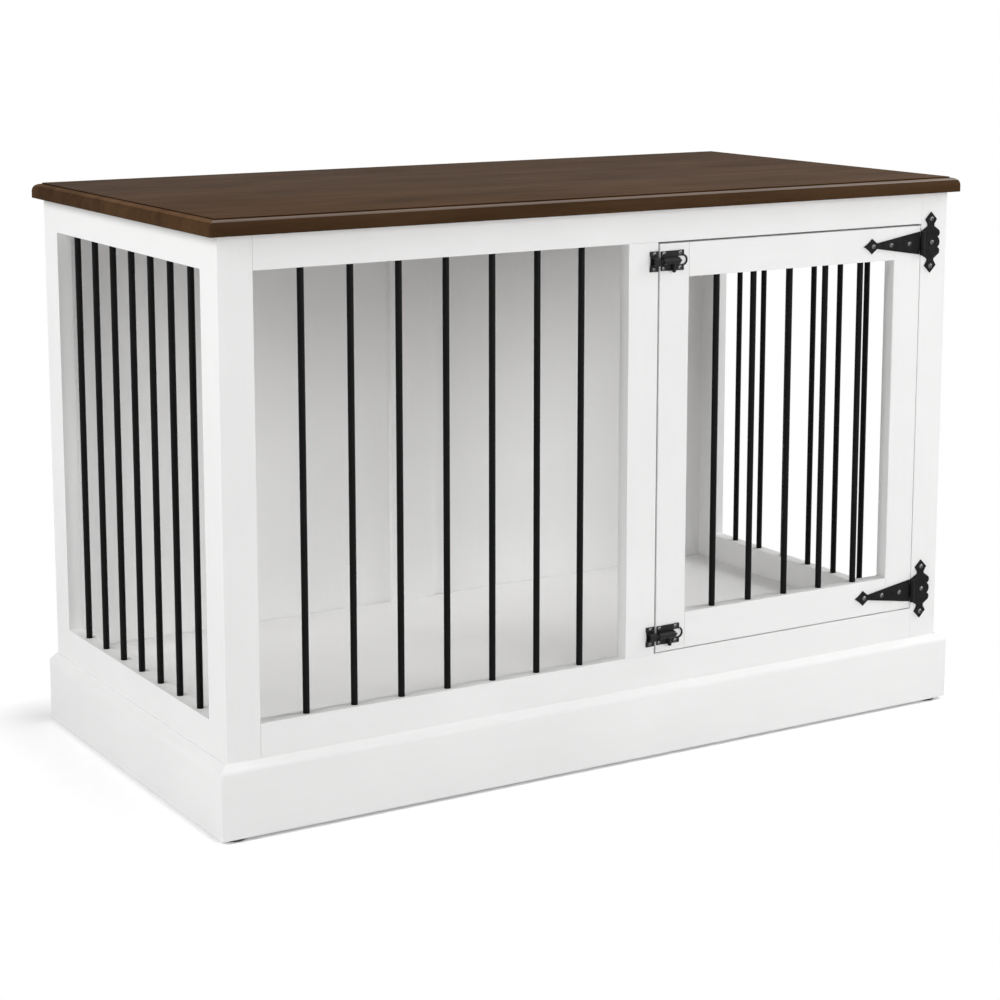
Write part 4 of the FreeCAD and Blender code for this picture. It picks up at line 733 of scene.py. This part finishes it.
class CRATE_OT_mould_top(Operator):
    """Make the moulded top and stain it dark."""
    bl_idname = "crate.mould_top"
    bl_label = "Mould Top"

    def execute(self, context):
        stain = context.scene.crate_stain
        low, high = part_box("top_board")
        half = ((high.x - low.x) / 2, (high.y - low.y) / 2)
        middle = ((low.x + high.x) / 2, (low.y + high.y) / 2, low.z)
        curves = self.section(stain, high.z - low.z)
        rings = []
        for inset, height in np.concatenate(curves):
            ring = rounded_ring(half, inset, stain.corner)
            rings.append(np.column_stack([ring, np.full(len(ring), height)]))
        finishes = self.finishes(stain)
        top = make_piece("moulded_top", placed(tube(np.stack(rings)), [middle]), finishes[0], "cabinet",
                         "top_board")
        for finish in finishes[1:]:
            top.data.materials.append(finish)
        chosen = self.face_finishes([len(curve) for curve in curves])
        indices = np.zeros(len(top.data.polygons), dtype=np.int32)
        indices[:chosen.size] = chosen.ravel()
        top.data.polygons.foreach_set("material_index", indices)
        return {"FINISHED"}

    @staticmethod
    def section(stain, thick):
        """Curves of (inset, height) up the edge: eased foot, ovolo, cove and the raised field's crown."""
        ease, round_over, bend = stain.edge_ease, stain.ovolo, stain.step_ease
        shoulder = thick - stain.step
        return (
            arc((ease, ease), ease, -np.pi / 2, -np.pi, EASE_STEPS),
            arc((round_over, shoulder - round_over), round_over, np.pi, np.pi / 2, ROUND_STEPS),
            arc((stain.step_inset - bend, shoulder + bend), bend, -np.pi / 2, 0, EASE_STEPS),
            arc((stain.step_inset + bend, thick - bend), bend, np.pi, np.pi / 2, EASE_STEPS),
        )

    @staticmethod
    def finishes(stain):
        """The field's stain, then painted shade and light for the edge, ovolo, cove and ends, and a
        polish.
        """
        sheen = (stain.roughness, stain.gloss)
        polish = (stain.front_roughness, stain.front_gloss)
        kinds = (
            ("dark_stain", sheen, 1.0),
            ("edge_stain", sheen, stain.edge_shade_depth),
            ("rubbed_stain", sheen, stain.highlight_depth),
            ("gathered_stain", sheen, stain.painted_shade_depth),
            ("polished_stain", polish, 1.0),
            ("end_stain", sheen, stain.lit_end_depth),
        )
        return [dark_stain(name, stain, *gloss, depth) for name, gloss, depth in kinds]

    @staticmethod
    def face_finishes(counts):
        """The number of each face's finish, row by row up the edge and column by column round it.

        Painted shade darkens the stain under the edge, on the edge's face and in the cove, and a painted
        highlight lightens the ovolo's upper half, which is polished at the front. The two ends' lower
        half is painted less dark, as lit from the sides. The field is left at zero.
        """
        edge, highlighted, shaded, polished, end = range(1, 6)
        under, ovolo, cove, _ = counts
        columns = 4 * CORNER_STEPS
        face = under - 1
        highlight_start = under + ovolo // 2
        polish_end = under + ovolo * 4 // 5
        shelf = under + ovolo
        front = slice(2 * CORNER_STEPS, columns)
        ends = (2 * CORNER_STEPS - 1, columns - 1)
        chosen = np.zeros((sum(counts) - 1, columns), dtype=np.int32)
        # Painted shade under the edge
        chosen[:face] = shaded
        # Painted shade on the edge's face and the ovolo's lower half
        chosen[face:highlight_start] = edge
        # Painted light: the ends' edge faces take a lighter shade than the front's and back's
        chosen[face:highlight_start, ends] = end
        # Painted highlight on the ovolo's upper half
        chosen[highlight_start:shelf] = highlighted
        chosen[highlight_start:polish_end, front] = polished
        # Painted shade in the cove and on the step's riser
        chosen[shelf:shelf + cove] = shaded
        return chosen


class CRATE_OT_make_skirting(Operator):
    """Make the three skirting boards with their sloping top edge and mitred corners."""
    bl_idname = "crate.make_skirting"
    bl_label = "Make Skirting"

    def execute(self, context):
        skirting = context.scene.crate_skirting
        low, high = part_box("skirting_front")
        profile = self.section(skirting, high.y - low.y, high.z - low.z)
        runs = {
            "skirting_front": ("X", low.x, high.x, True, low.y, 1),
            "skirting_left": ("Y", low.y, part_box("skirting_left")[1].y, False, low.x, 1),
            "skirting_right": ("Y", low.y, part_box("skirting_right")[1].y, False, high.x, -1),
        }
        for name, (axis, *run) in runs.items():
            shape = self.board(profile, low.z, skirting.corner, axis, *run)
            paint = painted(axis, context.scene.crate_paint)
            make_piece(f"moulded_{name}", shape, paint, "cabinet", name)
        return {"FINISHED"}

    @staticmethod
    def section(skirting, deep, tall):
        """Outline of (depth from the face, height): foot, face, nose, slope, flat lip and back."""
        ease, nose, seam = skirting.ease, skirting.nose, skirting.seam
        turn = math.pi / 2 - math.atan2(skirting.bevel, deep - skirting.lip)
        nose_centre = (nose, tall - skirting.bevel - nose * math.tan(turn / 2))
        foot = arc((ease, ease), ease, -np.pi / 2, -np.pi, FOOT_STEPS)
        rounded = arc(nose_centre, nose, np.pi, np.pi - turn, NOSE_STEPS)
        top = np.array([[deep - skirting.lip, tall]])
        edge = arc((deep - seam, tall - seam), seam, np.pi / 2, 0, EASE_STEPS)
        back = np.array([[deep, 0.0]])
        return np.concatenate([foot, rounded, top, edge, back])

    @staticmethod
    def board(profile, base, corner, axis, start, end, end_mitred, face, inward):
        """The section carried along one axis and round half of each mitred corner, to the mitre.

        A point at a depth from the face turns about a centre that is the corner's radius in from both
        faces, on what is left of that radius, from the run's direction to half a right angle. Deeper
        points have no radius left and lie on the mitre.
        """
        depth, height = profile[:, 0], profile[:, 1]
        left = np.maximum(corner - depth, 0)
        centre = np.maximum(corner, depth)
        turn = np.linspace(np.pi / 4, 0, CORNER_STEPS)[:, None]
        mitre_run = centre - left * np.sin(turn)
        mitre_across = centre - left * np.cos(turn)
        if end_mitred:
            end_run, end_across = end - mitre_run[::-1], mitre_across[::-1]
        else:
            end_run, end_across = np.full((1, len(depth)), end), depth[None]
        run = np.concatenate([start + mitre_run, end_run])
        sideways = face + inward * np.concatenate([mitre_across, end_across])
        level = np.broadcast_to(base + height, run.shape)
        order = (run, sideways, level) if axis == "X" else (sideways, run, level)
        shape = tube(np.stack(order, axis=2))
        return flipped(shape) if (axis == "X") == (inward > 0) else shape


class CRATE_OT_blacken_bars(Operator):
    """Give the bars their satin black coat."""
    bl_idname = "crate.blacken_bars"
    bl_label = "Blacken Bars"

    def execute(self, context):
        coat(BARS, black_bar(context.scene.crate_iron))
        return {"FINISHED"}


class CRATE_OT_finish_hinges(Operator):
    """Blacken the strap hinges and make their domed screws."""
    bl_idname = "crate.finish_hinges"
    bl_label = "Finish Hinges"

    def execute(self, context):
        screws = context.scene.crate_screws
        settings = context.scene.crate_iron
        coat(HINGE_LEAVES, black_iron("hammered_black_iron", settings, settings.hinge_gloss))
        steel = kept_material("black_screw_steel", black_screw, settings)
        head = (screws.dome_radius, screws.dome_rise, screws.dome_rise)
        for node, body in (("hinge_strap_screws", "door"), ("hinge_plate_screws", "cabinet")):
            make_screws(node, "-y", head, screws, steel, body)
        return {"FINISHED"}


class CRATE_OT_finish_bolts(Operator):
    """Blacken the slide bolts, turn their rods and knobs, and make their screws."""
    bl_idname = "crate.finish_bolts"
    bl_label = "Finish Bolts"

    def execute(self, context):
        screws = context.scene.crate_screws
        settings = context.scene.crate_iron
        iron = black_iron("glossy_black_iron", settings, settings.bolt_gloss)
        coat(BOLT_IRON, iron)
        steel = kept_material("black_screw_steel", black_screw, settings)
        head = (screws.bolt_radius, screws.bolt_rise, 0.0)
        for node, body in (("bolt_plate_screws", "door"), ("keeper_screws", "cabinet")):
            make_screws(node, "-y", head, screws, steel, body)
        for level in ("upper", "lower"):
            rod, knob = f"{level}_bolt", f"{level}_bolt_knob"
            shapes = {rod: self.rod(rod), knob: self.knob(knob, settings.knob_ball, settings.knob_stem)}
            for name, shape in shapes.items():
                make_piece(f"turned_{name}", shape, iron, f"{level}_slide", name)
        return {"FINISHED"}

    @staticmethod
    def rod(name):
        """A rod with an eased tip and a thin tail: radius and distance from the tip, turned round +X."""
        low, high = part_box(name)
        radius = (high.z - low.z) / 2
        length = high.x - low.x
        neck = length - TAIL_LENGTH
        ease = TIP_EASE / 2
        profile = np.concatenate([
            arc((radius - TIP_EASE, TIP_EASE), TIP_EASE, -np.pi / 2, 0, CORNER_STEPS),
            arc((radius - ease, neck - ease), ease, 0, np.pi / 2, EASE_STEPS),
            np.array([[TAIL_RADIUS, neck]]),
            arc((TAIL_RADIUS - ease, length - ease), ease, 0, np.pi / 2, EASE_STEPS),
        ])
        place = (low.x, (low.y + high.y) / 2, (low.z + high.z) / 2)
        return placed(turned(lathe(profile, ROD_SPOKES), "+x"), [place])

    @staticmethod
    def knob(name, ball, stem):
        """A stem, a neck and a ball below the rod: radius and distance down, turned round -Z."""
        low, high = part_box(name)
        centre = high.z - low.z - ball
        neck = stem * NECK_WIDTH
        collar = np.array([[stem, 0.0], [stem, centre * COLLAR_END], [neck, centre * NECK_START]])
        sphere = arc((0.0, centre), ball, math.asin(neck / ball) - np.pi / 2, np.pi / 2 - BALL_FLAT,
                     ROUND_STEPS)
        place = ((low.x + high.x) / 2, (low.y + high.y) / 2, high.z)
        return placed(turned(lathe(np.concatenate([collar, sphere]), KNOB_SPOKES), "-z"), [place])


class CRATE_OT_finish_back(Operator):
    """Make the back panels' screws, and finish the timber, steel and glides that mostly stay hidden."""
    bl_idname = "crate.finish_back"
    bl_label = "Finish Back and Underside"

    def execute(self, context):
        timber = context.scene.crate_timber
        screws = context.scene.crate_screws
        steel = zinc_steel(timber)
        for axis, names in BARE_TIMBER.items():
            coat(names, bare_timber(axis, timber))
        coat(PLAIN_STEEL, steel)
        coat(("corner_glides",), glide_plastic(timber))
        head = (screws.panel_radius, screws.panel_rise, screws.panel_rise)
        make_screws("back_panel_screws", "+y", head, screws, steel, "cabinet")
        return {"FINISHED"}


class CRATE_OT_set_stage(Operator):
    """Lay the floor, light the studio and stand the camera where the photograph was taken."""
    bl_idname = "crate.set_stage"
    bl_label = "Set Stage"

    def execute(self, context):
        scene = context.scene
        stage = scene.crate_stage
        scene.view_settings.view_transform = "Standard"
        self.floor(scene, stage)
        self.world(scene, stage)
        for side in ("front", "left", "right"):
            power, place = getattr(stage, f"{side}_power"), getattr(stage, f"{side}_place")
            self.lamp(scene, f"{side}_light", power, place, stage.lamp_size)
        self.camera(scene, stage)
        return {"FINISHED"}

    @staticmethod
    def pick(tree, share, otherwise, chosen):
        """The second of two shaders where a share is 1, and the first where it is 0."""
        inputs = {0: share, 1: otherwise, 2: chosen}
        return new_node(tree, "ShaderNodeMixShader", inputs).outputs["Shader"]

    @staticmethod
    def mirrored(tree, path):
        """1 for a ray that a glossy or a clear surface sends on."""
        glossy, clear = path.outputs["Is Glossy Ray"], path.outputs["Is Transmission Ray"]
        return combine(tree, "MAXIMUM", glossy, clear)

    @staticmethod
    def distance_out(tree):
        """How far a place on the floor lies outside the crate's outline, centred on the origin."""
        found = new_node(tree, "ShaderNodeTexCoord").outputs["Object"]
        steps = (
            ("ABSOLUTE", {}),
            ("SUBTRACT", {1: CAD_BOX[1]}),
            ("MAXIMUM", {1: (0, 0, 0)}),
            ("LENGTH", {}),
        )
        for kind, second in steps:
            step = new_node(tree, "ShaderNodeVectorMath", {0: found, **second}, operation=kind)
            found = step.outputs["Value" if kind == "LENGTH" else "Vector"]
        return found

    def floor(self, scene, stage):
        """A wide flat floor that the camera sees as white, but for the crate's shadow close to it."""
        corners = np.array([[-1, -1, 0], [1, -1, 0], [1, 1, 0], [-1, 1, 0]]) * FLOOR_REACH
        mesh = bpy.data.meshes.new("studio_floor")
        mesh.from_pydata(corners.tolist(), [], [[0, 1, 2, 3]])
        floor = bpy.data.objects.new("studio_floor", mesh)
        scene.collection.objects.link(floor)
        material, tree = new_material("studio_floor")
        lifted = scaled(stage.floor, stage.floor_lift)
        matt, bright = [new_node(tree, "ShaderNodeBsdfDiffuse", {"Color": rgba(colour)}).outputs["BSDF"]
                        for colour in (stage.floor, lifted)]
        glow = new_node(tree, "ShaderNodeEmission", {"Color": rgba(WHITE), "Strength": 1.0})
        white = glow.outputs["Emission"]
        away = ramp(tree, self.distance_out(tree), start=stage.near_reach, end=stage.far_reach)
        path = new_node(tree, "ShaderNodeLightPath")
        seen = self.pick(tree, away, bright, white)
        lit = self.pick(tree, self.mirrored(tree, path), matt, white)
        surface = self.pick(tree, path.outputs["Is Camera Ray"], lit, seen)
        new_node(tree, "ShaderNodeOutputMaterial", {"Surface": surface})
        mesh.materials.append(material)

    def world(self, scene, stage):
        """Even light from all round, behind a white backdrop."""
        world = bpy.data.worlds.new("studio")
        world.use_nodes = True
        tree = world.node_tree
        tree.nodes.clear()
        light, white = [
            new_node(tree, "ShaderNodeBackground", {"Color": rgba(WHITE), "Strength": strength})
            for strength in (stage.ambient, 1.0)]
        path = new_node(tree, "ShaderNodeLightPath")
        seen = combine(tree, "MAXIMUM", path.outputs["Is Camera Ray"], self.mirrored(tree, path))
        surface = self.pick(tree, seen, light.outputs["Background"], white.outputs["Background"])
        new_node(tree, "ShaderNodeOutputWorld", {"Surface": surface})
        scene.world = world

    @staticmethod
    def lamp(scene, name, power, place, size):
        """A square lamp that faces the middle of the crate."""
        light = bpy.data.lights.new(name, "AREA")
        light.energy = power
        light.size = size
        lamp = bpy.data.objects.new(name, light)
        lamp.location = place
        middle = (Vector(CAD_BOX[0]) + Vector(CAD_BOX[1])) / 2
        lamp.rotation_euler = (middle - Vector(place)).to_track_quat("-Z", "Y").to_euler()
        scene.collection.objects.link(lamp)

    @staticmethod
    def camera(scene, stage):
        """A camera at a heading and a tilt, with a small upright shift of its lens."""
        lens = bpy.data.cameras.new("photo_camera")
        lens.lens = stage.camera_lens
        lens.sensor_width = SENSOR_WIDTH
        lens.shift_y = stage.camera_rise
        camera = bpy.data.objects.new("photo_camera", lens)
        level = math.cos(stage.camera_pitch)
        ahead = Vector((math.sin(stage.camera_yaw) * level, math.cos(stage.camera_yaw) * level,
                        -math.sin(stage.camera_pitch)))
        camera.location = stage.camera_place
        camera.rotation_euler = ahead.to_track_quat("-Z", "Y").to_euler()
        scene.collection.objects.link(camera)
        scene.camera = camera


OPERATORS = (CRATE_OT_paint_boards, CRATE_OT_mould_top, CRATE_OT_make_skirting, CRATE_OT_blacken_bars,
             CRATE_OT_finish_hinges, CRATE_OT_finish_bolts, CRATE_OT_finish_back, CRATE_OT_set_stage)


class CRATE_PT_finishes(Panel):
    """The crate's finishing steps and their settings."""
    bl_idname = "CRATE_PT_finishes"
    bl_label = "Pet Crate"
    bl_space_type = "VIEW_3D"
    bl_region_type = "UI"
    bl_category = "Pet Crate"

    def draw(self, context):
        column = self.layout.column()
        for operator in OPERATORS:
            column.operator(operator.bl_idname)
        for name, group in SETTINGS.items():
            settings = getattr(context.scene, name)
            for prop in group.__annotations__:
                column.prop(settings, prop)


def register():
    for group in SETTINGS.values():
        bpy.utils.register_class(group)
    for name, group in SETTINGS.items():
        setattr(bpy.types.Scene, name, PointerProperty(type=group))
    for operator in OPERATORS:
        bpy.utils.register_class(operator)
    bpy.utils.register_class(CRATE_PT_finishes)


def unregister():
    bpy.utils.unregister_class(CRATE_PT_finishes)
    for operator in reversed(OPERATORS):
        bpy.utils.unregister_class(operator)
    for name in SETTINGS:
        delattr(bpy.types.Scene, name)
    for group in reversed(list(SETTINGS.values())):
        bpy.utils.unregister_class(group)


def main():
    """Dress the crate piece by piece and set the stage."""
    register()
    bpy.ops.crate.paint_boards()
    bpy.ops.crate.mould_top()
    bpy.ops.crate.make_skirting()
    bpy.ops.crate.blacken_bars()
    bpy.ops.crate.finish_hinges()
    bpy.ops.crate.finish_bolts()
    bpy.ops.crate.finish_back()
    bpy.ops.crate.set_stage()


if __name__ == "__main__":
    main()
